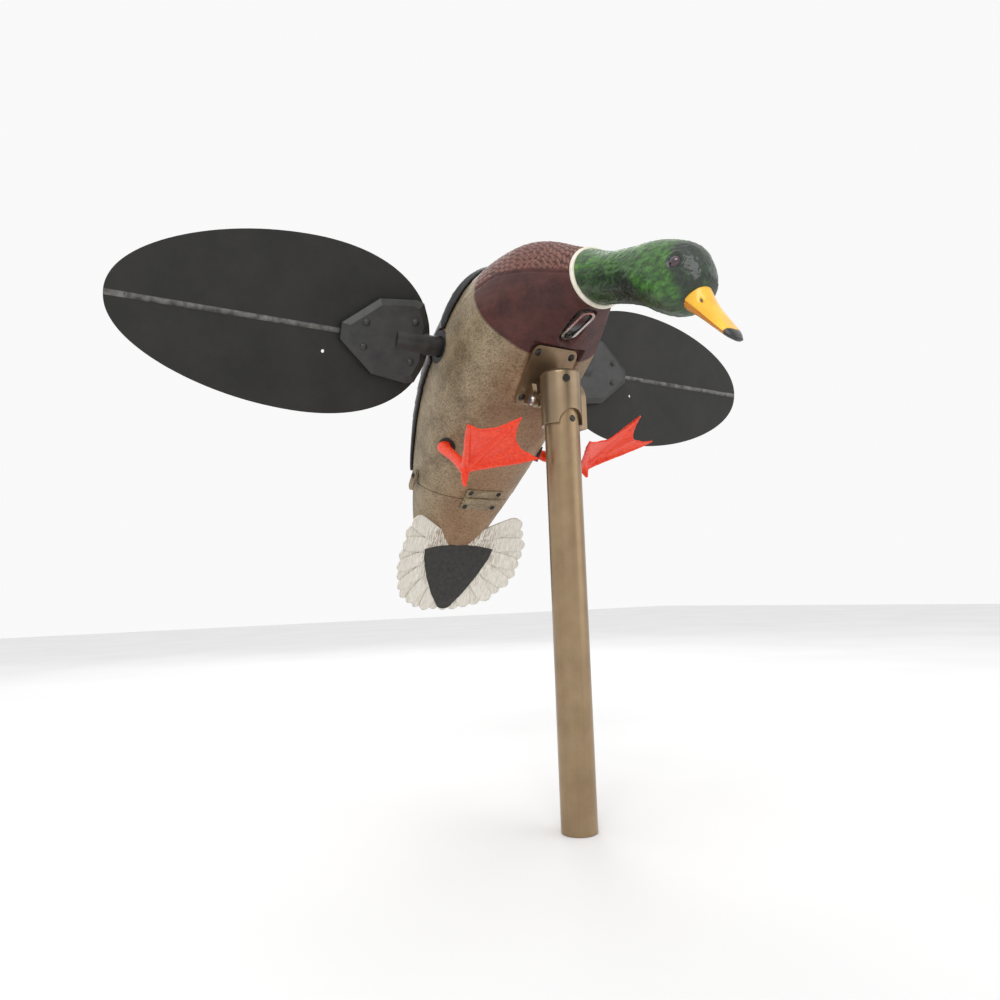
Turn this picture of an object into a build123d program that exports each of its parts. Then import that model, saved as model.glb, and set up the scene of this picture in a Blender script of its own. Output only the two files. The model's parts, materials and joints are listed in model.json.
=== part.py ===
from build123d import *
import os
from math import cos, sin, pi, radians, copysign, tan

# Motion wing duck decoy on the top section of its support pole.
# Millimetres. Origin at the centre of the pole's lower end, +Z up the pole,
# -Y the way the duck faces, +X the duck's left.

# ---------------------------------------------------------------- driving sizes
POLE_R = 15.875              # 1 1/4 inch tube
POLE_WALL = 1.65
SHAFT_Y = 107.0              # wing shaft, behind the pole axis
SHAFT_Z = 450.0              # wing shaft, above the pole's lower end
POLE_TOP = SHAFT_Z - 62.0
SNAP_Z = SHAFT_Z - 93.0      # spring button under the socket's arch
SNAP_R = 3.0
FOOT_HOLE_Z = 30.0
BORE_DEPTH = 340.0              # from the foot to the bead that stops the section below

BODY_WALL = 3.0
RUN_FIT = 0.06               # radial clearance of turning and sliding fits
GAP = 0.5                    # clearance between bodies that pass each other
SEAM_HALF_GAP = 0.35
SIDES = (-1, 1)

WING_HALF_LENGTH = 143.0
WING_HALF_CHORD = 77.0
WING_ROOT_X = 79.5
WING_TAPER = 0.184           # chord shrinks towards the tip by this share
WING_ANGLE = {"right": 20.7, "left": 6.5}     # chord lean about the shaft, degrees
SIDE = {"right": -1, "left": 1}
SHEET_T = 1.4
RIB_R = 2.2
RIVET_R = 2.0
BRACKET = [(85, 20), (93, 38), (101, 40), (138, 35), (172, 7.5)]
BRACKET_TOP = 10.0
BACKPLATE_T = 3.0
RIVETS = [(150, 11.2), (150, -11.2), (101, 19.0), (101, -19.0)]

STEM_R = 10.0
STEM_FACE_X = 70.0
STEM_END_X = 107.0
HUB_R = 9.5
HUB_X = (40.0, 69.4)
PEG_R = 4.0
PEG_LENGTH = 8.2
SEAL_R = 16.5
SEAL_BORE_R = 10.6
SEAL_X = (61.5, 68.0)
MOTOR_R = 19.0
MOTOR_HALF = 29.0
CAN_WALL = 1.5
BEARING_R = 5.0
BEARING_REACH = 3.0
SHAFT_R = 3.0
SHAFT_HALF = 58.0

BARREL_R = 18.6
BARREL_Z = (SHAFT_Z - 97.0, SHAFT_Z - 47.0)
ARCH_R = 13.0
PIVOT = (27.0, SHAFT_Z - 68.0)                # y, z of the fold axis
PIVOT_R = 3.0
KNUCKLE_R = 6.0
KNUCKLE_HALF = 8.0
LUG_X = (8.5, 13.5)
PLATE_PITCH = 50.0           # slope of the belly plate below horizontal
PLATE_SIZE = (50.0, 60.0, 3.0)
PLATE_CENTRE = (-84.0, -44.0)                 # y, z from the wing shaft
PLATE_SCREW = (19.0, 23.0)
TILT = (-10.0, 2.0, 13.0, 25.0)               # tilts that the socket leaves room for
TILT_REACH = 9.0             # the plate's face passes this far from the pivot
LEVER_X = (19.5, 29.5)
LEVER_R = 21.0
BUTTON_R = 3.4
BUTTON_Z = SHAFT_Z - 57.0
BUTTON_DIR = Vector(-0.34, -0.94, 0).normalized()

SEAM_BELLY = (34.0, -150.0)  # hatch seam at the belly, from the wing shaft
SEAM_RISE = 28.0             # slope of the seam towards the back, degrees
HINGE_HALF = 22.0
HINGE_R = 2.6
HINGE_PIN_R = 1.2
LEAF_DEPTH = 13.0
LEAF_T = 1.2
LATCH = (77.5, -118.0)       # turn button's pivot, from the wing shaft
LATCH_X = 58.7
FAN_PITCH = 60.0
FAN_CENTRE = (92.0, -205.0)
FAN_HALF_W = 79.0
FAN_SAG = 18.0
FAN_T = 2.6

# Body stations along the spine: y, z from the wing shaft, pitch of the forward
# direction, half width, height above and below the spine, squareness.
BODY = [
    (-163.0, 22.0, 0.0, 29.0, 27.0, 27.0, 2.0),
    (-146.0, 24.0, 8.0, 36.0, 38.0, 31.0, 2.0),
    (-112.0, 22.0, 22.0, 54.0, 67.0, 41.0, 2.1),
    (-66.0, 6.0, 38.0, 68.0, 84.0, 53.0, 2.3),
    (-10.0, -24.0, 46.0, 70.0, 80.0, 64.0, 2.5),
    (38.0, -72.0, 46.0, 66.0, 70.0, 57.0, 2.5),
    (76.0, -116.0, 46.0, 57.0, 54.0, 48.0, 2.4),
    (104.0, -152.0, 50.0, 47.0, 38.0, 38.0, 2.3),
    (120.0, -180.0, 54.0, 40.0, 26.0, 28.0, 2.2),
]
HEAD = [
    (-168.0, 22.0, 0.0, 27.0, 25.0, 25.0, 2.0),
    (-192.0, 17.0, -4.0, 23.0, 17.0, 27.0, 2.0),
    (-216.0, 9.0, -18.0, 22.0, 18.0, 27.0, 2.0),
    (-238.0, -3.0, -34.0, 23.0, 26.0, 26.0, 2.1),
    (-258.0, -17.0, -44.0, 22.0, 30.0, 26.0, 2.1),
    (-271.0, -29.0, -50.0, 18.0, 24.0, 22.0, 2.1),
    (-281.0, -38.0, -54.0, 13.0, 13.0, 15.0, 2.0),
]
BILL = [
    (-264.0, -27.0, -46.0, 11.5, 14.0, 9.0, 2.0),
    (-273.0, -36.0, -46.0, 12.0, 15.0, 9.0, 2.0),
    (-285.0, -50.0, -48.0, 10.0, 8.5, 6.0, 2.1),
    (-298.0, -64.0, -48.0, 10.0, 4.5, 4.5, 2.2),
    (-306.0, -73.0, -48.0, 8.0, 3.0, 3.5, 2.3),
    (-310.0, -78.0, -48.0, 4.5, 1.5, 2.0, 2.2),
]
# Parting line between back and belly shells, y, z from the wing shaft.
PARTING = [(-200, 22), (-163, 22), (-128, 34), (-89, 42), (-55, 36), (0, 0), (150, -167), (200, -222)]
# Lower edge of the folded wings, then round behind the back.
SADDLE_EDGE = [
    (-78, 150), (-62, 108), (-38, 74), (-31, 42), (-14, 18), (15, -11), (39, -29),
    (63, -61), (80, -84), (103, -108), (150, -90), (180, 20), (40, 160)]
SADDLE_T = 4.5

EYE = (15.6, -272.0, -11.0)
EYE_R = 5.2
SWITCH_CENTRE = (-136.0, -11.0)
SWITCH_PITCH = 16.0
SWITCH_L = 42.0
SWITCH_W = 15.0

LEG_ROOT = (56.0, 10.0, -98.0)
LEG_OUT = Vector(0.78, -0.50, -0.38).normalized()
LEG_R = 5.6
LEG_SOCKET_R = 8.6
WEB_T = 2.4
TOE_R = 2.6
# Foot points for the right side, and how much higher the left foot holds each one.
FOOT = {
    "heel": (-69.3, -49.1, -130.7), "outer": (-103.6, -115.2, -106.6),
    "middle": (-66.5, -140.0, -102.6), "inner": (-29.6, -110.0, -129.4), "hind": (-72.0, -50.9, -148.5)}
LEFT_LIFT = {"heel": 9.9, "outer": 3.0, "middle": 14.8, "inner": 20.4, "hind": 16.5}

BATTERY = ((-35.0, 42.0, 0.0), (35.0, 138.0, 47.0))       # x, along the spine, towards the belly
BOARD = ((-27.0, -88.0, 60.0), (27.0, -50.0, 61.6))


# ---------------------------------------------------------------- small helpers
def row(y, z, x=0.0):
    """A point given from the wing shaft's centre, in the row frame."""
    return Vector(x, SHAFT_Y + y, SHAFT_Z + z)


def slope(pitch):
    """Unit vector that runs rearward and down at this pitch."""
    return Vector(0, cos(radians(pitch)), -sin(radians(pitch)))


def dorsal(pitch):
    """Unit vector square to slope(), pointing up and back."""
    return Vector(0, sin(radians(pitch)), cos(radians(pitch)))


def rod(start, end, radius):
    """A solid cylinder between two points."""
    start = Vector(start)
    span = Vector(end) - start
    plane = Plane(origin=start, z_dir=span.normalized())
    return extrude(plane * Circle(radius), span.length)


def tube(start, end, outer, inner):
    span = Vector(end) - Vector(start)
    reach = span.normalized()
    return rod(start, end, outer) - rod(Vector(start) - reach, Vector(end) + reach, inner)


def capped_rod(start, end, radius, edge):
    """A cylinder whose far end is bevelled."""
    bar = rod(start, end, radius)
    return chamfer(bar.edges().sort_by_distance(Vector(start))[-1], edge)


def box_between(low, high):
    size = [high[i] - low[i] for i in range(3)]
    centre = [(high[i] + low[i]) / 2 for i in range(3)]
    return Pos(*centre) * Box(*size)


def dome(base, direction, radius, height):
    """A low domed head standing on a surface, with its flat face at base."""
    sphere_r = (radius * radius + height * height) / (2 * height)
    direction = Vector(direction).normalized()
    ball = Pos(*(Vector(base) + direction * (height - sphere_r))) * Sphere(sphere_r)
    return ball & rod(base, Vector(base) + direction * (height + 1), radius + 1)


def station_wire(station, inset=0.0, points=20):
    """Superellipse section square to the spine."""
    y, z, pitch, half_w, rise, drop, power = station
    forward = Vector(0, -cos(radians(pitch)), sin(radians(pitch)))
    plane = Plane(origin=row(y, z), x_dir=(1, 0, 0), z_dir=forward)
    half_w, rise, drop = half_w - inset, rise - inset, drop - inset
    outline = []
    for step in range(points):
        turn = 2 * pi * step / points + pi / 2 + 0.1
        across = copysign(abs(cos(turn)) ** (2 / power), cos(turn)) * half_w
        height = copysign(abs(sin(turn)) ** (2 / power), sin(turn))
        height *= rise if height > 0 else drop
        outline.append(plane.from_local_coords((across, height)))
    return Wire([Edge.make_spline(outline, periodic=True)])


def loft_stations(stations, inset=0.0):
    return Solid.make_loft([station_wire(s, inset) for s in stations])


def shifted(station, along):
    """The same station moved along its own forward direction."""
    y, z, pitch = station[:3]
    return (y - cos(radians(pitch)) * along, z + sin(radians(pitch)) * along) + station[2:]


def shell_cavity(stations, wall, front=0.0, rear=0.0):
    """The hollow inside a lofted body, held off its two ends."""
    inner = list(stations)
    inner[0] = shifted(inner[0], -front)
    inner[-1] = shifted(inner[-1], rear)
    return loft_stations(inner, wall)


def profile_block(points, half_width=130.0):
    """A prism along X from a closed outline in the symmetry plane."""
    outline = Polyline([row(y, z, -half_width) for y, z in points], close=True)
    return extrude(Face(outline.wire()), 2 * half_width, dir=(1, 0, 0))


def screw(base, direction, head_r, shank_r, length, drive=1.2):
    """A pan head screw with a cross slot, head standing on base."""
    direction = Vector(direction).normalized()
    head = dome(base, direction, head_r, head_r * 0.55)
    shank = rod(Vector(base) - direction * length, Vector(base) + direction * 0.01, shank_r)
    recess = rod(Vector(base) + direction * (head_r * 0.55 - drive * 0.6), Vector(base) + direction * 9, head_r * 0.32)
    return head + shank - recess


class SpineFrame:
    """Coordinates x, along the spine and towards the belly, from the wing shaft."""

    def __init__(self, pitch):
        self.along = slope(pitch)
        self.down = -dorsal(pitch)

    def at(self, x, along, down):
        return row(0, 0, x) + self.along * along + self.down * down

    def box(self, low, high):
        centre = self.at(*[(low[i] + high[i]) / 2 for i in range(3)])
        plane = Plane(origin=centre, x_dir=(1, 0, 0), z_dir=self.down)
        return plane * Box(high[0] - low[0], high[1] - low[1], high[2] - low[2])


# ---------------------------------------------------------------- body outline solids
spine = SpineFrame(47.0)
body_outer = loft_stations(BODY)
body_inner = shell_cavity(BODY, BODY_WALL, front=3.0, rear=3.0)
seam_dorsal = Vector(0, cos(radians(SEAM_RISE)), sin(radians(SEAM_RISE)))
seam_normal = Vector(0, sin(radians(SEAM_RISE)), -cos(radians(SEAM_RISE)))
seam_plane = Plane(origin=row(*SEAM_BELLY), x_dir=(1, 0, 0), z_dir=seam_normal)
plate_plane = Plane(origin=row(*PLATE_CENTRE), x_dir=(1, 0, 0), z_dir=-dorsal(PLATE_PITCH))
switch_plane = Plane(origin=row(*SWITCH_CENTRE), x_dir=(1, 0, 0), z_dir=-dorsal(SWITCH_PITCH))


def beyond_seam(offset=0.0):
    """Half space behind the hatch seam."""
    return extrude(seam_plane.offset(offset) * Rectangle(400, 500), 250)


def above_parting():
    """Half space on the back's side of the parting line."""
    return profile_block(PARTING + [(260, 200), (-200, 200)])


def shaft_bore(radius):
    return rod(row(0, 0, -120), row(0, 0, 120), radius)


def leg_point(side):
    return row(LEG_ROOT[1], LEG_ROOT[2], side * LEG_ROOT[0])


def leg_axis(side):
    return Vector(side * LEG_OUT.X, LEG_OUT.Y, LEG_OUT.Z)


def plate_spots():
    """The plate's four screw places on the plate plane."""
    return [plate_plane.from_local_coords((u * PLATE_SCREW[0], v * PLATE_SCREW[1], 0)) for u in SIDES for v in SIDES]


def switch_slot(length, width, low, high):
    """An obround prism along the breast's underside."""
    outline = switch_plane.offset(low) * Rot(0, 0, 90) * SlotOverall(length, width)
    return extrude(outline, high - low)


def belly_line():
    """Where the belly's surface crosses the hatch seam, in the symmetry plane."""
    ray = Axis(row(*SEAM_BELLY) - seam_dorsal * 20, seam_dorsal)
    hits = body_outer.find_intersection_points(ray)
    points = [point for point, normal in hits]
    return min(points, key=lambda point: (point - ray.position).length)


hinge_axis = belly_line() - seam_dorsal * 2.0
leaf_plane = Plane(origin=hinge_axis + seam_dorsal * 1.6, x_dir=(1, 0, 0), z_dir=-dorsal(41.0))


# ---------------------------------------------------------------- shells
main_ring = body_outer - body_inner - beyond_seam(-SEAM_HALF_GAP)


def hinge_relief():
    """Room for the hinge's barrel in the two edges it bridges."""
    return rod(hinge_axis - Vector(HINGE_HALF + 1, 0, 0), hinge_axis + Vector(HINGE_HALF + 1, 0, 0), HINGE_R + GAP)


def make_back_shell():
    return (main_ring & above_parting()) - shaft_bore(SEAL_R)


def seat_space():
    """The plate's seat and everything outside it, which inner pieces keep clear of."""
    return extrude(plate_plane.offset(-6) * Rectangle(60, 70), 40)


def make_belly_shell():
    """Belly half with the plate's flat seat, leg holes and switch slot."""
    shell = main_ring - above_parting() - shaft_bore(SEAL_R)
    seat = extrude(plate_plane.offset(-6) * RectangleRounded(58, 68, 6), 6)
    clear = extrude(plate_plane * Rectangle(PLATE_SIZE[0] + 1, PLATE_SIZE[1] + 1), 25)
    shell = (shell - clear) + seat
    for spot in plate_spots():
        shell -= rod(spot + plate_plane.z_dir, spot - plate_plane.z_dir * 14, 1.75)
    for side in SIDES:
        root = leg_point(side)
        shell -= rod(root - leg_axis(side) * 16, root + leg_axis(side) * 14, LEG_SOCKET_R)
    shell -= switch_slot(SWITCH_L, SWITCH_W, -9, 12)
    return shell - hinge_relief() - leaf_recess(-1)


def leaf_recess(toward):
    """Flat seat for a hinge leaf, body side -1 or tail side +1."""
    middle = Pos(0, -toward * (LEAF_DEPTH + 1) / 2)
    return extrude(leaf_plane.offset(-LEAF_T) * middle * Rectangle(2 * HINGE_HALF + 1, LEAF_DEPTH + 1), 8)


def make_tail_shell():
    ring = (body_outer - body_inner) & beyond_seam(SEAM_HALF_GAP)
    return ring - hinge_relief() - leaf_recess(1)


def make_wing_saddle():
    """Moulded folded wings and scapulars, one cover over the back."""
    raised = [(y, z, p, w + SADDLE_T, r + SADDLE_T, d + SADDLE_T, e) for y, z, p, w, r, d, e in BODY]
    cover = loft_stations(raised) - loft_stations(BODY, -0.2)
    cover = cover & profile_block(SADDLE_EDGE)
    return cover - beyond_seam(-1.0) - shaft_bore(SEAL_R + 1.2)


def make_neck_ring():
    rim = [(-163, 22, 0, 27.5, 25.5, 25.5, 2), (-165.5, 22, 0, 29.5, 27.5, 27.5, 2), (-168, 22, 0, 28, 26, 26, 2)]
    return loft_stations(rim) - rod(row(-150, 22), row(-180, 22), 9.0)


def make_head_shell():
    outer = loft_stations(HEAD)
    inner = shell_cavity(HEAD, 2.6, front=3.0, rear=2.0)
    skull = outer - inner - loft_stations(BILL)
    for side in SIDES:
        skull -= Pos(*row(EYE[1], EYE[2], side * EYE[0])) * Sphere(EYE_R)
    return skull


def make_bill():
    return loft_stations(BILL) - loft_stations(HEAD, 2.6)


def make_eyes():
    return [Pos(*row(EYE[1], EYE[2], side * EYE[0])) * Sphere(EYE_R) for side in SIDES]


# ---------------------------------------------------------------- switch
def make_switch_bezel():
    return switch_slot(SWITCH_L, SWITCH_W, -9, 1.5) - switch_slot(SWITCH_L - 5, SWITCH_W - 5, -7, 5)


def make_switch_rocker():
    """Crowned rocker that tips lengthways in the bezel."""
    crown_r = 60.0
    key = switch_slot(SWITCH_L - 9, SWITCH_W - 6.4, -3.5, 4)
    middle = switch_plane.from_local_coords((0, 0, 0.6 - crown_r))
    return key & rod(middle - Vector(20, 0, 0), middle + Vector(20, 0, 0), crown_r)


# ---------------------------------------------------------------- mount plate and socket
def tilt_clearance(x0, x1, heads=0.0):
    """Space that the plate's face and its screw heads need over the tilt, as wedges near the pivot."""
    wedges = []
    for tilt in TILT:
        angle = radians(90 - PLATE_PITCH + tilt)
        outward = Vector(0, cos(angle), sin(angle))
        origin = Vector((x0 + x1) / 2, *PIVOT) + outward * (TILT_REACH - heads)
        wedges.append(extrude(Plane(origin=origin, x_dir=(1, 0, 0), z_dir=outward) * Rectangle(x1 - x0, 200), 90))
    return wedges


def make_mount_plate():
    """Belly plate with two lugs that carry the pivot pin."""
    y, z = PIVOT
    plate = extrude(plate_plane * RectangleRounded(PLATE_SIZE[0], PLATE_SIZE[1], 7), PLATE_SIZE[2])
    low = plate_plane.from_local_coords((0, -29, 1))
    high = plate_plane.from_local_coords((0, -6, 1))
    for side in SIDES:
        x0 = min(side * LUG_X[0], side * LUG_X[1])
        width = LUG_X[1] - LUG_X[0]
        corners = [(x0, high.Y, high.Z), (x0, y - 3.0, z + 5.0), (x0, y - 3.0, z - 5.0), (x0, low.Y, low.Z)]
        plate += extrude(Face(Polyline(corners, close=True).wire()), width, dir=(1, 0, 0))
        plate += rod((x0, y, z), (x0 + width, y, z), KNUCKLE_R)
    plate -= rod((-40, y, z), (40, y, z), PIVOT_R)
    for spot in plate_spots():
        plate -= rod(spot - plate_plane.z_dir, spot + plate_plane.z_dir * 9, 2.2)
    return plate


def make_mount_screws():
    lift = plate_plane.z_dir * PLATE_SIZE[2]
    return [screw(spot + lift, plate_plane.z_dir, 3.6, 1.7, 8.5) for spot in plate_spots()]


def make_pivot_pin():
    """Pin through both lugs and the socket's knuckle, longer on the lever's side."""
    y, z = PIVOT
    pin = rod((-LUG_X[1] - 1, y, z), (LEVER_X[1] + 1.5, y, z), PIVOT_R)
    collar = tube((LUG_X[1], y, z), (LEVER_X[0] - GAP, y, z), 5.0, PIVOT_R - 0.5)
    right_head = capped_rod((-LUG_X[1], y, z), (-LUG_X[1] - 2.6, y, z), 5.0, 1.4)
    left_head = capped_rod((LEVER_X[1] + 0.4, y, z), (LEVER_X[1] + 2.6, y, z), 4.6, 1.2)
    return pin + collar + right_head + left_head


def make_socket_barrel():
    """Round socket with a closed crown, a rear knuckle and an arched mouth in front."""
    low, high = BARREL_Z
    y, z = PIVOT
    barrel = rod((0, 0, low), (0, 0, high), BARREL_R)
    barrel = fillet(barrel.edges().group_by(Axis.Z)[-1], 4)
    barrel += rod((-KNUCKLE_HALF, y, z), (KNUCKLE_HALF, y, z), KNUCKLE_R)
    barrel += box_between((-KNUCKLE_HALF, 8, z - KNUCKLE_R), (KNUCKLE_HALF, y, z + KNUCKLE_R))
    barrel -= rod((0, 0, low - 1), (0, 0, POLE_TOP + 0.6), POLE_R + RUN_FIT)
    barrel -= rod((-20, y, z), (20, y, z), PIVOT_R + RUN_FIT)
    barrel -= rod((0, 0, low), (0, -40, low), ARCH_R)
    for wedge in tilt_clearance(-30, 30):
        barrel -= wedge
    start = Vector(0, 0, BUTTON_Z)
    return barrel - rod(start + BUTTON_DIR * 8, start + BUTTON_DIR * 24, BUTTON_R + RUN_FIT)


def make_detent_button():
    """Push button in the socket's crown that frees the fold."""
    start = Vector(0, 0, BUTTON_Z)
    return capped_rod(start + BUTTON_DIR * 11.0, start + BUTTON_DIR * 20.6, BUTTON_R, 0.8)


def make_lock_lever():
    """Thick round-topped cam lever on the pin's left end, flat at its foot."""
    y, z = PIVOT
    x0, x1 = LEVER_X
    centre = (21.0, SHAFT_Z - 69.0)
    foot = SHAFT_Z - 97.0
    lever = rod((x0, *centre), (x1, *centre), LEVER_R)
    lever += box_between((x0, centre[0] - LEVER_R, foot), (x1, centre[0] + 8, centre[1]))
    lever -= box_between((x0 - 1, y + 8, z - 60), (x1 + 1, y + 40, z + 60))
    for wedge in tilt_clearance(x0 - 5, x1 + 5, 2.5):
        lever -= wedge
    return lever - rod((x0 - 1, y, z), (x1 + 1, y, z), PIVOT_R + RUN_FIT)


# ---------------------------------------------------------------- pole
def make_pole_section():
    """Top section of the tubular pole, with an inner stop bead and holes for spring buttons."""
    pole = tube((0, 0, 0), (0, 0, POLE_TOP), POLE_R, POLE_R - POLE_WALL)
    pole += tube((0, 0, BORE_DEPTH), (0, 0, BORE_DEPTH + 4), POLE_R - 0.5, POLE_R - POLE_WALL - 1.5)
    pole -= rod((0, 0, SNAP_Z), (0, -30, SNAP_Z), SNAP_R + RUN_FIT)
    return pole - rod((0, 0, FOOT_HOLE_Z), (0, 30, FOOT_HOLE_Z), SNAP_R + RUN_FIT)


def make_snap_button():
    body = rod((0, -POLE_R + 3.6, SNAP_Z), (0, -POLE_R - 0.8, SNAP_Z), SNAP_R)
    return chamfer(body.edges().sort_by(Axis.Y)[0], 0.7)


def make_button_spring():
    """Bent leaf inside the pole that pushes the snap button out."""
    inside = POLE_R - POLE_WALL
    leaf = box_between((-4, -inside + 4.4, SNAP_Z - 6), (4, -inside + 5.2, SNAP_Z + 26))
    back = box_between((-4, inside - 2.4, SNAP_Z - 6), (4, inside - 1.6, SNAP_Z + 26))
    crown = box_between((-4, -inside + 4.4, SNAP_Z + 25.2), (4, inside - 1.6, SNAP_Z + 26))
    return leaf + back + crown


# ---------------------------------------------------------------- motor and shaft
def on_shaft(x0, x1, outer, inner=0.0):
    """A cylinder or tube on the wing shaft's line."""
    if inner:
        return tube(row(0, 0, x0), row(0, 0, x1), outer, inner)
    return rod(row(0, 0, x0), row(0, 0, x1), outer)


def make_motor_can():
    can = on_shaft(-MOTOR_HALF, MOTOR_HALF, MOTOR_R, MOTOR_R - CAN_WALL)
    for side in SIDES:
        can += on_shaft(side * MOTOR_HALF, side * (MOTOR_HALF - 2.5), MOTOR_R - CAN_WALL, BEARING_R)
        can += on_shaft(side * MOTOR_HALF, side * (MOTOR_HALF + BEARING_REACH), 7.5, BEARING_R)
    return can


def make_motor_magnets():
    """Two arc magnets glued inside the can."""
    ring = on_shaft(-16, 16, MOTOR_R - CAN_WALL, MOTOR_R - 5.0)
    return ring - box_between((-20, SHAFT_Y - 4, SHAFT_Z - 30), (20, SHAFT_Y + 4, SHAFT_Z + 30))


def make_shaft_bearings():
    reach = (MOTOR_HALF - 2.5, MOTOR_HALF + BEARING_REACH)
    return [on_shaft(side * reach[0], side * reach[1], BEARING_R, SHAFT_R + RUN_FIT) for side in SIDES]


def make_motor_shaft():
    return on_shaft(-SHAFT_HALF, SHAFT_HALF, SHAFT_R)


def make_motor_armature():
    """Slotted core with its winding ends and commutator."""
    core = on_shaft(-15, 15, 12.8)
    for step in range(5):
        turn = 2 * pi * step / 5
        y, z = 13.4 * cos(turn), 13.4 * sin(turn)
        core -= rod(row(y, z, -20), row(y, z, 20), 2.6)
    core += on_shaft(-19, 19, 9.5)
    core += on_shaft(19, 24, 6.5)
    return core - on_shaft(-40, 40, SHAFT_R)


def make_motor_cradle():
    """Saddle round the can on a post and foot that stand on the belly."""
    hoop = on_shaft(-12, 12, MOTOR_R + 3.0, MOTOR_R)
    post = spine.box((-12, -12, MOTOR_R - 4), (12, 12, 92)) - on_shaft(-14, 14, MOTOR_R + 1.5)
    foot = spine.box((-22, -22, 76), (22, 22, 92))
    return hoop + (((post + foot) & loft_stations(BODY, BODY_WALL)) - seat_space())


def make_cradle_screws():
    spots = [spine.at(x, along, 76) for x in (-17, 17) for along in (-17, 17)]
    return [screw(spot, -spine.down, 2.8, 1.4, 5.0) for spot in spots]


# ---------------------------------------------------------------- battery and electronics
def make_battery():
    """Sealed 6 volt block with two spade terminals on its front."""
    low, high = BATTERY
    block = spine.box(low, high)
    for x in (-22, 22):
        block += spine.box((x - 3, low[1] - 6, 8), (x + 3, low[1], 9))
    return block


def make_battery_tray():
    """Floor, front stop and two ribs that hold the battery off the belly."""
    low, high = BATTERY
    floor = high[2]
    tray = spine.box((low[0] - 3, low[1] - 10, floor), (high[0] + 3, high[1] - 6, floor + 3))
    tray += spine.box((low[0] - 3, low[1] - 10, floor - 16), (high[0] + 3, low[1] - 7, floor))
    ribs = spine.box((-30, 40, floor + 3), (-27, 120, 100)) + spine.box((27, 40, floor + 3), (30, 120, 100))
    return tray + (ribs & loft_stations(BODY, BODY_WALL))


def make_battery_strap():
    low, high = BATTERY
    band = spine.box((low[0] - 2, 80, low[2] - 2), (high[0] + 2, 98, high[2]))
    return band - spine.box((low[0], 70, low[2]), (high[0], 110, high[2] + 1))


def make_control_board():
    return spine.box(*BOARD)


def make_board_parts():
    """Relay, chip, connector and capacitor on the timer board."""
    top = BOARD[0][2]
    relay = spine.box((10, -84, top - 14), (24, -66, top))
    chip = spine.box((-24, -80, top - 2.6), (-12, -66, top))
    plug = spine.box((-12, -60, top - 8), (12, -52, top))
    can = rod(spine.at(-19, -57, top), spine.at(-19, -57, top - 16), 4.5)
    return [relay, chip, plug, can]


def make_board_posts():
    cavity = loft_stations(BODY, BODY_WALL)
    group = []
    for x in (-23, 23):
        for along in (-84, -54):
            post = rod(spine.at(x, along, BOARD[1][2]), spine.at(x, along, 125), 2.5) & cavity
            group.append(post - seat_space())
    return group


def wire_run(points, radius):
    """A round lead: straight runs joined by tangent arcs."""
    radii = []
    for before, corner, after in zip(points, points[1:], points[2:]):
        a, b = corner - before, after - corner
        radii.append(0.45 * min(a.length, b.length) / tan(radians(a.get_angle(b)) / 2))
    print("lead radii", [round(r, 1) for r in radii])
    path = FilletPolyline(points, radius=radii)
    start = Plane(origin=points[0], z_dir=(points[1] - points[0]).normalized())
    return sweep(start * Circle(radius), path=path)


def make_battery_lead():
    route = [(22, 35.9, 8.5), (22.5, 26, 13), (27, 8, 28), (25, -14, 43), (16, -32, 54), (8, -42, 56.5), (6, -51.9, 56)]
    return wire_run([spine.at(*point) for point in route], 1.6)


def make_motor_lead():
    route = [(18, -11.46, 15.28), (18.5, -18, 25), (15, -30, 42), (4, -42, 53), (0, -51.9, 56)]
    return wire_run([spine.at(*point) for point in route], 1.2)


def make_switch_lead():
    start = switch_plane.from_local_coords((0, 0, -9.05))
    lifted = start - switch_plane.z_dir * 10
    route = [(-1.5, -97, 76), (-4, -98, 63), (-5, -93, 51.5), (-5, -82, 47), (-5, -71, 50), (-4, -60.1, 55.5)]
    return wire_run([start, lifted] + [spine.at(*point) for point in route], 1.2)


# ---------------------------------------------------------------- seals and hubs
def make_shaft_seals():
    return [on_shaft(side * SEAL_X[0], side * SEAL_X[1], SEAL_R, SEAL_BORE_R) for side in SIDES]


def make_wing_hubs():
    """Couplings on the shaft ends, each with a blind bore for a wing's peg."""
    group = []
    for side in SIDES:
        hub = on_shaft(side * HUB_X[0], side * HUB_X[1], HUB_R)
        hub -= on_shaft(side * (HUB_X[0] - 1), side * SHAFT_HALF, SHAFT_R)
        hub -= on_shaft(side * (HUB_X[1] - PEG_LENGTH - 0.4), side * (HUB_X[1] + 5), PEG_R + RUN_FIT)
        hub -= rod(row(0, 0, side * 45), row(0, 20, side * 45), 1.5)
        group.append(hub)
    return group


def make_hub_screws():
    return [rod(row(0, SHAFT_R, side * 45), row(0, 9.0, side * 45), 1.5) for side in SIDES]


# ---------------------------------------------------------------- wings
def wing_plane(name):
    """Plane of a wing sheet: x outward along the shaft, y up the chord."""
    lean = radians(WING_ANGLE[name])
    chord = Vector(0, -sin(lean), cos(lean))
    out = Vector(SIDE[name], 0, 0)
    return Plane(origin=(0, SHAFT_Y, SHAFT_Z), x_dir=out, z_dir=out.cross(chord))


def facing(name):
    """Sign along the plane's normal that points to the duck's front."""
    return 1 if wing_plane(name).z_dir.Y < 0 else -1


def slab(plane, sketch, low, high):
    """Extrude a sketch between two heights over a plane."""
    return extrude(plane.offset(low) * sketch, high - low)


def along_wing(plane, x0, x1, radius):
    """A cylinder on the wing's long axis."""
    return rod(plane.from_local_coords((x0, 0, 0)), plane.from_local_coords((x1, 0, 0)), radius)


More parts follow.
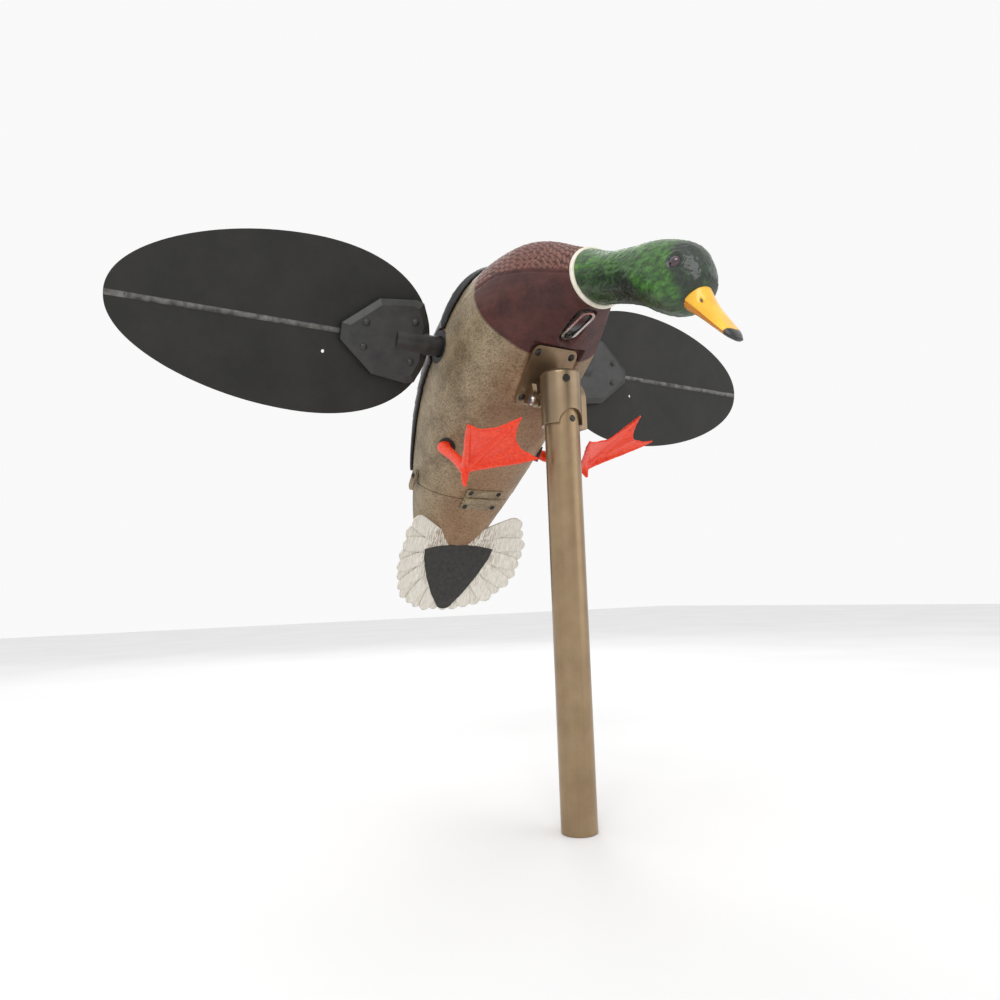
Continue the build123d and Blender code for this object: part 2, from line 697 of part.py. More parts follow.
def wing_outline(steps=40):
    """Superellipse whose chord shrinks towards the tip."""
    power = 2.1
    points = []
    for step in range(steps):
        turn = 2 * pi * step / steps
        u = copysign(abs(cos(turn)) ** (2 / power), cos(turn))
        v = copysign(abs(sin(turn)) ** (2 / power), sin(turn)) * (1 - WING_TAPER * u)
        points.append((WING_ROOT_X + WING_HALF_LENGTH * (1 + u), WING_HALF_CHORD * v))
    return make_face(Spline([Vector(*point) for point in points], periodic=True))


def bracket_outline(share=1.0):
    """The clamp's six-sided outline, shrunk about its middle."""
    centre = 128.0
    upper = [(centre + (x - centre) * share, y * share) for x, y in BRACKET]
    lower = [(x, -y) for x, y in reversed(upper)]
    return make_face(Polyline(upper + lower, close=True))


def rivet_holes(plane):
    holes = [slab(plane, Pos(x, y) * Circle(RIVET_R), -20, 20) for x, y in RIVETS]
    return holes[0] + holes[1] + holes[2] + holes[3]


def make_wing_sheet(name):
    """Thin painted sheet with a rib along its middle and a notched root."""
    plane = wing_plane(name)
    sheet = slab(plane, wing_outline(), -SHEET_T / 2, SHEET_T / 2) + along_wing(plane, 165, 350, RIB_R)
    sheet -= slab(plane, Pos(STEM_END_X - 27, 0) * Rectangle(54, 2 * STEM_R), -15, 15)
    return sheet - rivet_holes(plane) - slab(plane, Pos(185, -21) * Circle(1.6), -4, 4)


def clamp_half(name, face, top):
    """The part of the clamp shared by both halves: plate, stem barrel and holes."""
    plane = wing_plane(name)
    body = slab(plane, bracket_outline(), face * SHEET_T / 2, face * top)
    barrel = along_wing(plane, 85, 118, STEM_R + 3.0)
    body += barrel & slab(plane, Pos(120, 0) * Rectangle(200, 100), face * SHEET_T / 2, face * 40)
    body -= along_wing(plane, 60, STEM_END_X, STEM_R) + along_wing(plane, 165, 350, RIB_R)
    return body - rivet_holes(plane)


def make_wing_bracket(name):
    """Moulded clamp half on the front of the sheet, chamfered round its crown."""
    plane = wing_plane(name)
    face = facing(name)
    lower = 6.5
    crown = loft([plane.offset(face * lower) * bracket_outline(), plane.offset(face * BRACKET_TOP) * bracket_outline(0.84)])
    crown -= along_wing(plane, 60, STEM_END_X, STEM_R) + rivet_holes(plane)
    return clamp_half(name, face, lower) + crown


def make_wing_backplate(name):
    return clamp_half(name, -facing(name), SHEET_T / 2 + BACKPLATE_T)


def make_wing_rivets(name):
    """Four domed rivets through both halves of the clamp."""
    plane = wing_plane(name)
    face = facing(name)
    group = []
    for x, y in RIVETS:
        top = plane.from_local_coords((x, y, face * BRACKET_TOP))
        tail = plane.from_local_coords((x, y, -face * (SHEET_T / 2 + BACKPLATE_T)))
        normal = (top - tail).normalized()
        group.append(rod(tail, top, RIVET_R) + dome(top, normal, 3.6, 2.4) + dome(tail, -normal, 3.6, 1.6))
    return group


def make_wing_stem(name):
    """Round stem in the clamp's bore, with the peg that seats in the hub."""
    plane = wing_plane(name)
    return along_wing(plane, STEM_FACE_X, STEM_END_X, STEM_R) + along_wing(
        plane, STEM_FACE_X - PEG_LENGTH, STEM_FACE_X + 1, PEG_R)


# ---------------------------------------------------------------- tail
fan_plane = Plane(origin=row(*FAN_CENTRE), x_dir=(1, 0, 0), z_dir=dorsal(FAN_PITCH))
FAN_R = (FAN_HALF_W ** 2 + FAN_SAG ** 2) / (2 * FAN_SAG)


def fan_arch(radius):
    """Cylinder along the tail whose crown is the fan's arched middle."""
    middle = fan_plane.from_local_coords((0, 0, FAN_SAG / 2 - FAN_R))
    run = fan_plane.y_dir
    return rod(middle - run * 120, middle + run * 120, radius)


def fan_outline():
    """Rounded fan with a feather scallop along its rear edge."""
    points = []
    steps = 88
    for step in range(steps):
        turn = 2 * pi * step / steps
        x = FAN_HALF_W * copysign(abs(cos(turn)) ** 0.88, cos(turn))
        y = 74.0 * copysign(abs(sin(turn)) ** 0.88, sin(turn))
        ripple = 1 + 0.02 * cos(turn * 22) if sin(turn) > -0.3 else 1.0
        points.append((x * ripple, y * ripple - 5))
    return make_face(Polyline(points, close=True))


def make_tail_fan():
    sheet = fan_arch(FAN_R + FAN_T / 2) - fan_arch(FAN_R - FAN_T / 2)
    blank = slab(fan_plane, fan_outline(), -40, 60)
    return (sheet & blank & beyond_seam(12.0)) - body_outer


def make_tail_coverts():
    """Black under-tail wedge that tapers to the fan's tip."""
    upper = [(-44, -18), (44, -18), (34, 22), (15, 58), (5, 70), (-5, 70), (-15, 58), (-34, 22)]
    pad = slab(fan_plane, make_face(Polyline(upper, close=True)), -30, 60)
    pad &= fan_arch(FAN_R - FAN_T / 2)
    pad -= fan_arch(FAN_R - FAN_T / 2 - 4.0)
    return pad - body_outer


def leaf(toward):
    """One hinge leaf, body side -1 or tail side +1, without its knuckles."""
    middle = Pos(0, -toward * LEAF_DEPTH / 2)
    return extrude(leaf_plane.offset(-LEAF_T) * middle * Rectangle(2 * HINGE_HALF, LEAF_DEPTH), LEAF_T)


def knuckle(x0, x1):
    return rod(hinge_axis + Vector(x0, 0, 0), hinge_axis + Vector(x1, 0, 0), HINGE_R)


def knuckle_gap(x0, x1):
    """Room for the other leaf's knuckle."""
    return rod(hinge_axis + Vector(x0 - 0.3, 0, 0), hinge_axis + Vector(x1 + 0.3, 0, 0), HINGE_R + 0.4)


def leaf_screw_spots(toward):
    return [leaf_plane.from_local_coords((x, -toward * 9.5, 0)) for x in (-17, 17)]


THIRD = HINGE_HALF / 3


def make_hinge_leaf_body():
    plate = leaf(-1) - knuckle_gap(-THIRD, THIRD)
    plate += knuckle(-HINGE_HALF, -THIRD) + knuckle(THIRD, HINGE_HALF)
    plate -= rod(hinge_axis - Vector(40, 0, 0), hinge_axis + Vector(40, 0, 0), HINGE_PIN_R + RUN_FIT)
    for spot in leaf_screw_spots(-1):
        plate -= rod(spot - leaf_plane.z_dir * 3, spot + leaf_plane.z_dir * 3, 1.5)
    return plate


def make_hinge_leaf_tail():
    plate = leaf(1) - knuckle_gap(-HINGE_HALF, -THIRD) - knuckle_gap(THIRD, HINGE_HALF)
    plate += knuckle(-THIRD + 0.3, THIRD - 0.3)
    plate -= rod(hinge_axis - Vector(40, 0, 0), hinge_axis + Vector(40, 0, 0), HINGE_PIN_R)
    for spot in leaf_screw_spots(1):
        plate -= rod(spot - leaf_plane.z_dir * 3, spot + leaf_plane.z_dir * 3, 1.5)
    return plate


def make_hinge_pin():
    reach = Vector(HINGE_HALF - 0.2, 0, 0)
    return rod(hinge_axis - reach, hinge_axis + reach, HINGE_PIN_R)


def make_hinge_screws(toward):
    return [screw(spot, leaf_plane.z_dir, 2.9, 1.5, 4.5) for spot in leaf_screw_spots(toward)]


def make_latch_tab():
    """Turn button on the right flank that laps over the hatch."""
    run = Vector(0, 0.614, -0.789)
    plane = Plane(origin=row(*LATCH, -LATCH_X), x_dir=run, z_dir=(-1, 0, 0))
    tab = extrude(plane * Pos(5, 0) * SlotOverall(24, 10), 2.2)
    return tab - extrude(plane * Circle(1.6 + RUN_FIT), 2.2)


def make_latch_screw():
    spot = row(*LATCH, -LATCH_X - 2.5)
    return screw(spot, (-1, 0, 0), 3.0, 1.6, 7.0)


# ---------------------------------------------------------------- legs and feet
def make_leg_sockets():
    """Rubber sockets in the flanks that grip the legs' plugs."""
    group = []
    for side in SIDES:
        root, axis = leg_point(side), leg_axis(side)
        group.append(tube(root - axis * 14, root + axis * 2, LEG_SOCKET_R, LEG_R + RUN_FIT))
    return group


def foot_point(name, key):
    x, y, z = FOOT[key]
    return row(y, z, x) if name == "right" else row(y, z + LEFT_LIFT[key], -x)


def web(heel, tip_a, tip_b):
    """Webbing between two toes, with its edge drawn in."""
    middle = (tip_a + tip_b) / 2
    drawn = middle + (heel - middle) * 0.16
    normal = (tip_a - heel).cross(tip_b - heel).normalized()
    outline = Polyline([heel, tip_a, drawn, tip_b], close=True)
    return extrude(Face(outline.wire()), WEB_T / 2, dir=normal, both=True)


def toe(start, tip):
    """A tapering toe."""
    span = tip - start
    plane = Plane(origin=start + span / 2, z_dir=span.normalized())
    return plane * Cone(TOE_R + 1.2, TOE_R - 1.4, span.length)


def joint_knob(centre, radius):
    """The thick joint where two leg bones meet."""
    return rod(centre - Vector(radius, 0, 0), centre + Vector(radius, 0, 0), radius)


def make_foot(name):
    """Plug, leg, hind toe and three webbed toes, moulded in one."""
    side = SIDE[name]
    root, axis = leg_point(side), leg_axis(side)
    knee = root + axis * 9
    heel = foot_point(name, "heel")
    foot = rod(root - axis * 12, knee + axis * 2, LEG_R)
    foot += rod(knee, heel, 5.2) + joint_knob(heel, 5.9)
    tips = [foot_point(name, key) for key in ("outer", "middle", "inner")]
    foot += web(heel, tips[0], tips[1]) + web(heel, tips[1], tips[2])
    for tip in tips + [foot_point(name, "hind")]:
        foot += toe(heel, tip)
    return foot


# ---------------------------------------------------------------- write the parts
def write(name, shape):
    """One STEP file for one node; a list is a group of separate solids."""
    solids = []
    for piece in (shape if isinstance(shape, list) else [shape]):
        solids.extend(piece.solids())
    group = solids[0] if len(solids) == 1 else Compound(children=solids)
    export_step(group, f"parts/{name}.step")


SINGLE = {
    "pole_section": make_pole_section, "button_spring": make_button_spring, "snap_button": make_snap_button,
    "socket_barrel": make_socket_barrel, "detent_button": make_detent_button, "lock_lever": make_lock_lever,
    "mount_plate": make_mount_plate, "mount_screws": make_mount_screws, "pivot_pin": make_pivot_pin,
    "back_shell": make_back_shell, "belly_shell": make_belly_shell, "wing_saddle": make_wing_saddle,
    "neck_ring": make_neck_ring, "head_shell": make_head_shell, "bill": make_bill, "eyes": make_eyes,
    "switch_bezel": make_switch_bezel, "switch_rocker": make_switch_rocker, "leg_sockets": make_leg_sockets,
    "motor_can": make_motor_can, "motor_magnets": make_motor_magnets, "motor_cradle": make_motor_cradle,
    "cradle_screws": make_cradle_screws, "shaft_bearings": make_shaft_bearings, "shaft_seals": make_shaft_seals,
    "motor_shaft": make_motor_shaft, "motor_armature": make_motor_armature, "wing_hubs": make_wing_hubs,
    "hub_screws": make_hub_screws, "battery": make_battery, "battery_tray": make_battery_tray,
    "battery_strap": make_battery_strap, "control_board": make_control_board, "board_parts": make_board_parts,
    "board_posts": make_board_posts, "battery_lead": make_battery_lead, "motor_lead": make_motor_lead,
    "switch_lead": make_switch_lead, "tail_shell": make_tail_shell, "tail_fan": make_tail_fan,
    "tail_coverts": make_tail_coverts, "hinge_leaf_body": make_hinge_leaf_body,
    "hinge_leaf_tail": make_hinge_leaf_tail, "hinge_pin": make_hinge_pin, "latch_tab": make_latch_tab,
    "latch_screw": make_latch_screw,
}
PAIRED = {
    "wing_sheet": make_wing_sheet, "wing_bracket": make_wing_bracket, "wing_backplate": make_wing_backplate,
    "wing_rivets": make_wing_rivets, "wing_stem": make_wing_stem, "foot": make_foot,
}

os.makedirs("parts", exist_ok=True)
for node, make in SINGLE.items():
    write(node, make())
for node, make in PAIRED.items():
    for name in SIDE:
        write(f"{node}_{name}", make(name))
write("hinge_screws_body", make_hinge_screws(-1))
write("hinge_screws_tail", make_hinge_screws(1))
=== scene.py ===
import json
import math

import bmesh
import bpy
import numpy as np
from mathutils import Matrix, Vector

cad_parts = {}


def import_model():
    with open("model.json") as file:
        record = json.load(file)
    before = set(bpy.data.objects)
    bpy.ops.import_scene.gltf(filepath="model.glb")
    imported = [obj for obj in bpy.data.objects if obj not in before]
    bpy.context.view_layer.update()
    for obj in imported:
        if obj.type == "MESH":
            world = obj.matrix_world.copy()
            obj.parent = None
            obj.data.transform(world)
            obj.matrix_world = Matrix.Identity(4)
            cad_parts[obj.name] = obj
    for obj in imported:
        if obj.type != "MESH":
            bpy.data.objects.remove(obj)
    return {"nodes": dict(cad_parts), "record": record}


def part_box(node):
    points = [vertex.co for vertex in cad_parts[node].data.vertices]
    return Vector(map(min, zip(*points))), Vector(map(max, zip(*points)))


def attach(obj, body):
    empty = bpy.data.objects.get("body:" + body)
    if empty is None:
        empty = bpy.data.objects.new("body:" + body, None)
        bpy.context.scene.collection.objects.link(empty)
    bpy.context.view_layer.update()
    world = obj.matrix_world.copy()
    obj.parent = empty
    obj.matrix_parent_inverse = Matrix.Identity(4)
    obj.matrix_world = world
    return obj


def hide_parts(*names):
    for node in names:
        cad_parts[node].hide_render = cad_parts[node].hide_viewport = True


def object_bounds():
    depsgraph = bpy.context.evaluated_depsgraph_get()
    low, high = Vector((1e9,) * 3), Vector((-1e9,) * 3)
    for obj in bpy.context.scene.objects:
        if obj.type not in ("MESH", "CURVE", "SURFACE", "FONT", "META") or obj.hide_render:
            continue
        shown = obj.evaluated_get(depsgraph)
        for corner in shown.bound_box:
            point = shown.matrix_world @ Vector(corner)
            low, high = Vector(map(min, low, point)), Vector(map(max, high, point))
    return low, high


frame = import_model()
cad_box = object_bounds()

MM = 0.001
# The wing shaft's centre in the row frame, mm. Every other place is given from it: x to the bird's left,
# y towards the tail, z up.
SHAFT = np.array([0.0, 107.0, 450.0])
SEAM_POINT = np.array([0.0, 34.0, -150.0])
SEAM_PITCH = math.radians(28)
SEAM_NORMAL = np.array([0.0, math.sin(SEAM_PITCH), -math.cos(SEAM_PITCH)])
SEAM_HALF_GAP = 0.35
PLATE_POINT = np.array([0.0, -84.0, -44.0])
PLATE_PITCH = math.radians(50)
PLATE_SEAT = (26.5, 31.5)                    # half width and half length
PLATE_SINK = 0.15
SWITCH_POINT = np.array([0.0, -136.0, -11.0])
SWITCH_PITCH = math.radians(16)
SWITCH_STRAIGHT = 13.5                       # half length of the oval's straight sides
SWITCH_WELL = (8.0, 10.5)                    # floor radius and lip radius of the pressed well
SWITCH_SLOT = 7.6
SWITCH_DEPTH = 4.0
HINGE_PITCH = math.radians(41)
LEAF_SEAT = (22.6, 13.6)
LEAF_RISE = 1.6                              # the leaf's face over the hinge pin's axis
LEAF_SINK = 1.3
SEAL_R = 16.5
SEAL_GAP = 0.15
SADDLE_SEAL_GAP = 1.2
EYE = np.array([15.6, -272.0, -11.0])
EYE_LID = 7.4
CHEEK = (-252, -24)                          # y and z
SKIN_WALL = 2.4
SKIN_INSET = 0.35                            # the painted skin lies this far inside the shell's face
SADDLE_WALL = 3.0
SADDLE_STAND = 2.9                           # the folded wings' face over the body's
SADDLE_SHOULDER = 3.6                        # how much higher they stand ahead of the shaft
FLIGHT_AND_SHADE_BAND = 10.5                           # full width of the black band: flight feathers, and near the shaft partly painted shade
FAR = 99.0                                   # further than anything on the bird's surface
FEATHER_SLOPE = math.radians(-47)            # the back's mean slope, which the painted barbs follow

# Scales and feathers: pitch along the spine and across it.
MANTLE_SCALE = (5.2, 6.6)
FLANK_FEATHER = (16.0, 18.0)
BACK_FEATHER = (15.0, 15.0)
# Grooves: depth and half width.
PARTING_GROOVE = (0.85, 0.75)
SEAM_GROOVE = (0.5, 1.1)
NECK_GROOVE = (0.3, 0.035)                   # the width is a share of the head's height

# Rows along the spine and points round it.
BODY_GRID = (290, 300)
SADDLE_GRID = (300, 320)
HEAD_GRID = (190, 190)
BILL_GRID = (120, 120)

# Stations from the wing shaft, mm: y, z, pitch, half width, rise, drop, squareness.
BODY = np.array([
    (-163, 22, 0, 29, 27, 27, 2.0),
    (-146, 24, 8, 36, 38, 31, 2.0),
    (-112, 22, 22, 54, 67, 41, 2.1),
    (-66, 6, 38, 68, 84, 53, 2.3),
    (-10, -24, 46, 70, 80, 64, 2.5),
    (38, -72, 46, 66, 70, 57, 2.5),
    (76, -116, 46, 57, 54, 48, 2.4),
    (104, -152, 50, 47, 38, 38, 2.3),
    (120, -180, 54, 40, 26, 28, 2.2)])
HEAD = np.array([
    (-168, 22, 0, 27, 25, 25, 2.0),
    (-192, 17, -4, 23, 17, 27, 2.0),
    (-216, 9, -18, 22, 18, 27, 2.0),
    (-238, -3, -34, 23, 26, 26, 2.1),
    (-258, -17, -44, 22, 30, 26, 2.1),
    (-271, -29, -50, 18, 24, 22, 2.1),
    (-281, -38, -54, 13, 13, 15, 2.0)])
BILL = np.array([
    (-264, -27, -46, 11.5, 14, 9, 2.0),
    (-273, -36, -46, 12, 15, 9, 2.0),
    (-285, -50, -48, 10, 8.5, 6, 2.1),
    (-298, -64, -48, 10, 4.5, 4.5, 2.2),
    (-306, -73, -48, 8, 3, 3.5, 2.3),
    (-310, -78, -48, 4.5, 1.5, 2, 2.2)])
# The seam between back and belly, and the folded wing's lower edge, both seen from the side: y, z.
PARTING = np.array([(-200, 22), (-163, 22), (-128, 34), (-89, 42), (-55, 36), (0, 0), (150, -167)], float)
SADDLE_LOWER = np.array([
    (-62, 108), (-38, 74), (-31, 42), (-14, 18), (15, -11),
    (39, -29), (63, -61), (80, -84), (103, -108)], float)
# Where the chestnut breast ends: its rear limit y at each height z.
CHESTNUT_Z = (-60, -21, 5, 30, 48, 73, 110)
CHESTNUT_Y = (-112, -96, -80, -64, -56, -50, -44)


# ---------------------------------------------------------------- numeric helpers
def smooth(edge0, edge1, value):
    """Smooth step from 0 at edge0 to 1 at edge1."""
    t = np.clip((value - edge0) / (edge1 - edge0), 0, 1)
    return t * t * (3 - 2 * t)


def pad_ends(rows):
    """Rows with one more at each end, carried straight on."""
    return np.vstack([2 * rows[0] - rows[1], rows, 2 * rows[-1] - rows[-2]])


def catmull(padded, i, t):
    """Catmull-Rom row a share t past row i of the rows that were padded."""
    a, b, c, d = padded[i:i + 4]
    bend = 3 * b - a - 3 * c + d
    return 0.5 * (2 * b + (c - a) * t + (2 * a - 5 * b + 4 * c - d) * t ** 2 + bend * t ** 3)


def spline_rows(rows, count):
    """Catmull-Rom rows through the stations, evenly spaced along the spine, and the spine's length."""
    padded = pad_ends(rows)
    steps = np.hypot(*np.diff(rows[:, :2], axis=0).T)
    reach = np.concatenate([[0], np.cumsum(steps)])
    out = []
    for s in np.linspace(0, reach[-1], count):
        i = min(np.searchsorted(reach, s, side="right") - 1, len(rows) - 2)
        out.append(catmull(padded, i, (s - reach[i]) / steps[i]))
    return np.array(out), reach[-1]


def skin_points(rows, columns):
    """Grid of points over lofted stations, plus each point's dorsal height share."""
    turn = np.linspace(0, 2 * math.pi, columns, endpoint=False) - math.pi / 2
    points, height = [], []
    for y, z, pitch, half_w, rise, drop, power in rows:
        p = math.radians(pitch)
        up = np.array([0, math.sin(p), math.cos(p)])
        x = np.sign(np.cos(turn)) * np.abs(np.cos(turn)) ** (2 / power) * half_w
        h = np.sign(np.sin(turn)) * np.abs(np.sin(turn)) ** (2 / power)
        size = np.where(h > 0, rise, drop)
        points.append(np.array([0, y, z]) + np.outer(x, [1, 0, 0]) + np.outer(h * size, up))
        height.append(h)
    return np.array(points), np.array(height)


def grid_normals(points):
    """Outward normals of a closed grid, rows along the spine."""
    around = np.roll(points, -1, axis=1) - np.roll(points, 1, axis=1)
    along = np.gradient(points, axis=0)
    normal = np.cross(around, along)
    length = np.linalg.norm(normal, axis=2, keepdims=True)
    normal = normal / np.maximum(length, 1e-9)
    middle = points.mean(axis=1, keepdims=True)
    flip = np.sign(((points - middle) * normal).sum(axis=2).mean())
    return normal * flip


def loft(stations, grid):
    """A lofted skin: points, dorsal height shares, outward normals and the spine's length."""
    rows, columns = grid
    spine, length = spline_rows(stations, rows)
    points, height = skin_points(spine, columns)
    return points, height, grid_normals(points), length


def down_rows(points, last):
    """A value for each point that grows evenly from 0 on the first row to last on the final one."""
    return np.linspace(0, last, len(points))[:, None] * np.ones(points.shape[1])


def girth(points, start=0):
    """Distance round each row from its start column."""
    ring = np.linalg.norm(np.roll(points, -1, 1) - points, axis=2)
    return np.cumsum(ring, axis=1) - ring[:, :start].sum(axis=1, keepdims=True)


def ridge(value, middle, width):
    """Bell curve, 1 at the middle."""
    return np.exp(-((value - middle) / width) ** 2)


def groove(distance, depth, width):
    """Depth of a soft groove at a distance from its line."""
    return depth * ridge(distance, 0, width)


def hash_noise(p, scale, seed=0.0):
    """Smooth value noise in space, from -1 to 1."""
    q = p / scale + seed
    base = np.floor(q)
    f = q - base
    f = f * f * (3 - 2 * f)
    total = 0
    for dx in (0, 1):
        for dy in (0, 1):
            for dz in (0, 1):
                c = base + [dx, dy, dz]
                h = np.sin(c @ np.array([127.1, 311.7, 74.7]) + seed) * 43758.5453
                h = h - np.floor(h)
                w = np.abs(1 - dx - f[..., 0]) * np.abs(1 - dy - f[..., 1]) * np.abs(1 - dz - f[..., 2])
                total = total + w * h
    return total * 2 - 1


def feathers(along, across, pitch_along, pitch_across):
    """Overlapping scales: height rises to each feather's rounded rear edge."""
    overlap, roundness = 1.75, 0.75
    best = np.full(along.shape, -9.0)
    row = np.floor(along / pitch_along)
    for step in (0, 1, 2):
        r = row - step
        shift = np.where(np.mod(r, 2) == 0, 0.0, 0.5)
        c = np.round(across / pitch_across - shift) + shift
        u = (across / pitch_across - c) * 2
        v = along / pitch_along - r
        inside = v < overlap - roundness * u * u
        rise = v / overlap - 0.22 * np.abs(u) - 0.14 * step + 0.12 * ridge(u, 0, 0.12)
        best = np.where(inside, np.maximum(best, rise), best)
    return np.clip(best, 0, 1.1)


def cobbles(along, across, pitch_along, pitch_across):
    """Staggered rounded scales, 0 in the gaps and 1 on each crown."""
    best = np.zeros(along.shape)
    row = np.floor(along / pitch_along)
    for step in (-1, 0, 1):
        r = row + step
        shift = np.where(np.mod(r, 2) == 0, 0.0, 0.5)
        column = np.round(across / pitch_across - shift) + shift
        u = (across / pitch_across - column) * 1.9
        v = (along / pitch_along - r - 0.45) * 1.5
        best = np.maximum(best, np.clip(1 - u * u - v * v - 0.35 * v, 0, 1) ** 0.55)
    return np.clip(best, 0, 1)


# ---------------------------------------------------------------- mesh helpers
def make_object(name, verts, faces, body, slot):
    """A smooth-shaded piece that rides on a body and wears its slot's material."""
    mesh = bpy.data.meshes.new(name)
    mesh.from_pydata([tuple(v) for v in verts], [], [tuple(f) for f in faces])
    mesh.update()
    obj = bpy.data.objects.new(name, mesh)
    bpy.context.scene.collection.objects.link(obj)
    obj.data.materials.append(SURFACES[slot])
    for polygon in mesh.polygons:
        polygon.use_smooth = True
    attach(obj, body)
    return obj


def grid_faces(rows, columns, closed=True, ring=False):
    """Quads of a grid. Closed joins the last column to the first, and ring the last row to the first."""
    faces = []
    for r in range(rows if ring else rows - 1):
        near, far = r * columns, (r + 1) % rows * columns
        for c in range(columns if closed else columns - 1):
            side = (c + 1) % columns
            faces.append((near + c, near + side, far + side, far + c))
    return faces


def capped(points, ends=None):
    """Vertices and faces of a closed skin: its grid and a fan of triangles over each end."""
    rows, columns = points.shape[:2]
    verts = np.vstack([points.reshape(-1, 3), *(ends or (points[0].mean(0), points[-1].mean(0)))])
    faces = grid_faces(rows, columns)
    front, rear, base = rows * columns, rows * columns + 1, (rows - 1) * columns
    faces += [(front, (c + 1) % columns, c) for c in range(columns)]
    faces += [(rear, base + c, base + (c + 1) % columns) for c in range(columns)]
    return verts, faces


def slab(top, bottom):
    """Vertices and faces of a closed sheet between two grids."""
    rows, columns = top.shape[:2]
    total = rows * columns
    sheet = grid_faces(rows, columns, closed=False)
    rim = list(range(columns))
    rim += [r * columns + columns - 1 for r in range(1, rows)]
    rim += [(rows - 1) * columns + c for c in range(columns - 2, -1, -1)]
    rim += [r * columns for r in range(rows - 2, 0, -1)]
    faces = sheet + [tuple(total + i for i in f[::-1]) for f in sheet]
    faces += [(a, b, total + b, total + a) for a, b in zip(rim, rim[1:] + rim[:1])]
    return np.vstack([top.reshape(-1, 3), bottom.reshape(-1, 3)]), faces


def join(parts):
    """One set of vertices and faces from several."""
    faces, start = [], 0
    for verts, part_faces in parts:
        faces += [tuple(start + i for i in f) for f in part_faces]
        start += len(verts)
    return np.vstack([verts for verts, _ in parts]), faces


def world(points):
    """Shaft-centred millimetres to metres in the row frame."""
    return (np.asarray(points).reshape(-1, 3) + SHAFT) * MM


def paint(obj, name, values):
    """Stores one value per vertex for the material to read."""
    attribute = obj.data.attributes.new(name, "FLOAT", "POINT")
    attribute.data.foreach_set("value", np.asarray(values, np.float32).ravel())


def with_ends(values, front, rear):
    """A capped skin's values: one for each grid point, then one for each end's middle."""
    return np.concatenate([values.ravel(), [front, rear]])


def clean(obj):
    """Dissolves edges and faces of no size and makes the normals agree."""
    bm = bmesh.new()
    bm.from_mesh(obj.data)
    bmesh.ops.dissolve_degenerate(bm, edges=bm.edges, dist=1e-6)
    bmesh.ops.recalc_face_normals(bm, faces=bm.faces)
    bm.to_mesh(obj.data)
    bm.free()


def cut_plane(obj, point, normal, keep_positive):
    """Cuts a mesh at a plane and keeps one side."""
    bm = bmesh.new()
    bm.from_mesh(obj.data)
    bmesh.ops.bisect_plane(
        bm, geom=bm.verts[:] + bm.edges[:] + bm.faces[:], dist=1e-7, plane_co=point, plane_no=normal,
        clear_inner=keep_positive, clear_outer=not keep_positive)
    bm.to_mesh(obj.data)
    bm.free()


def thicken(obj, thickness):
    """Gives a skin a wall on its inner side."""
    modifier = obj.modifiers.new("wall", "SOLIDIFY")
    modifier.thickness = thickness * MM
    modifier.offset = -1


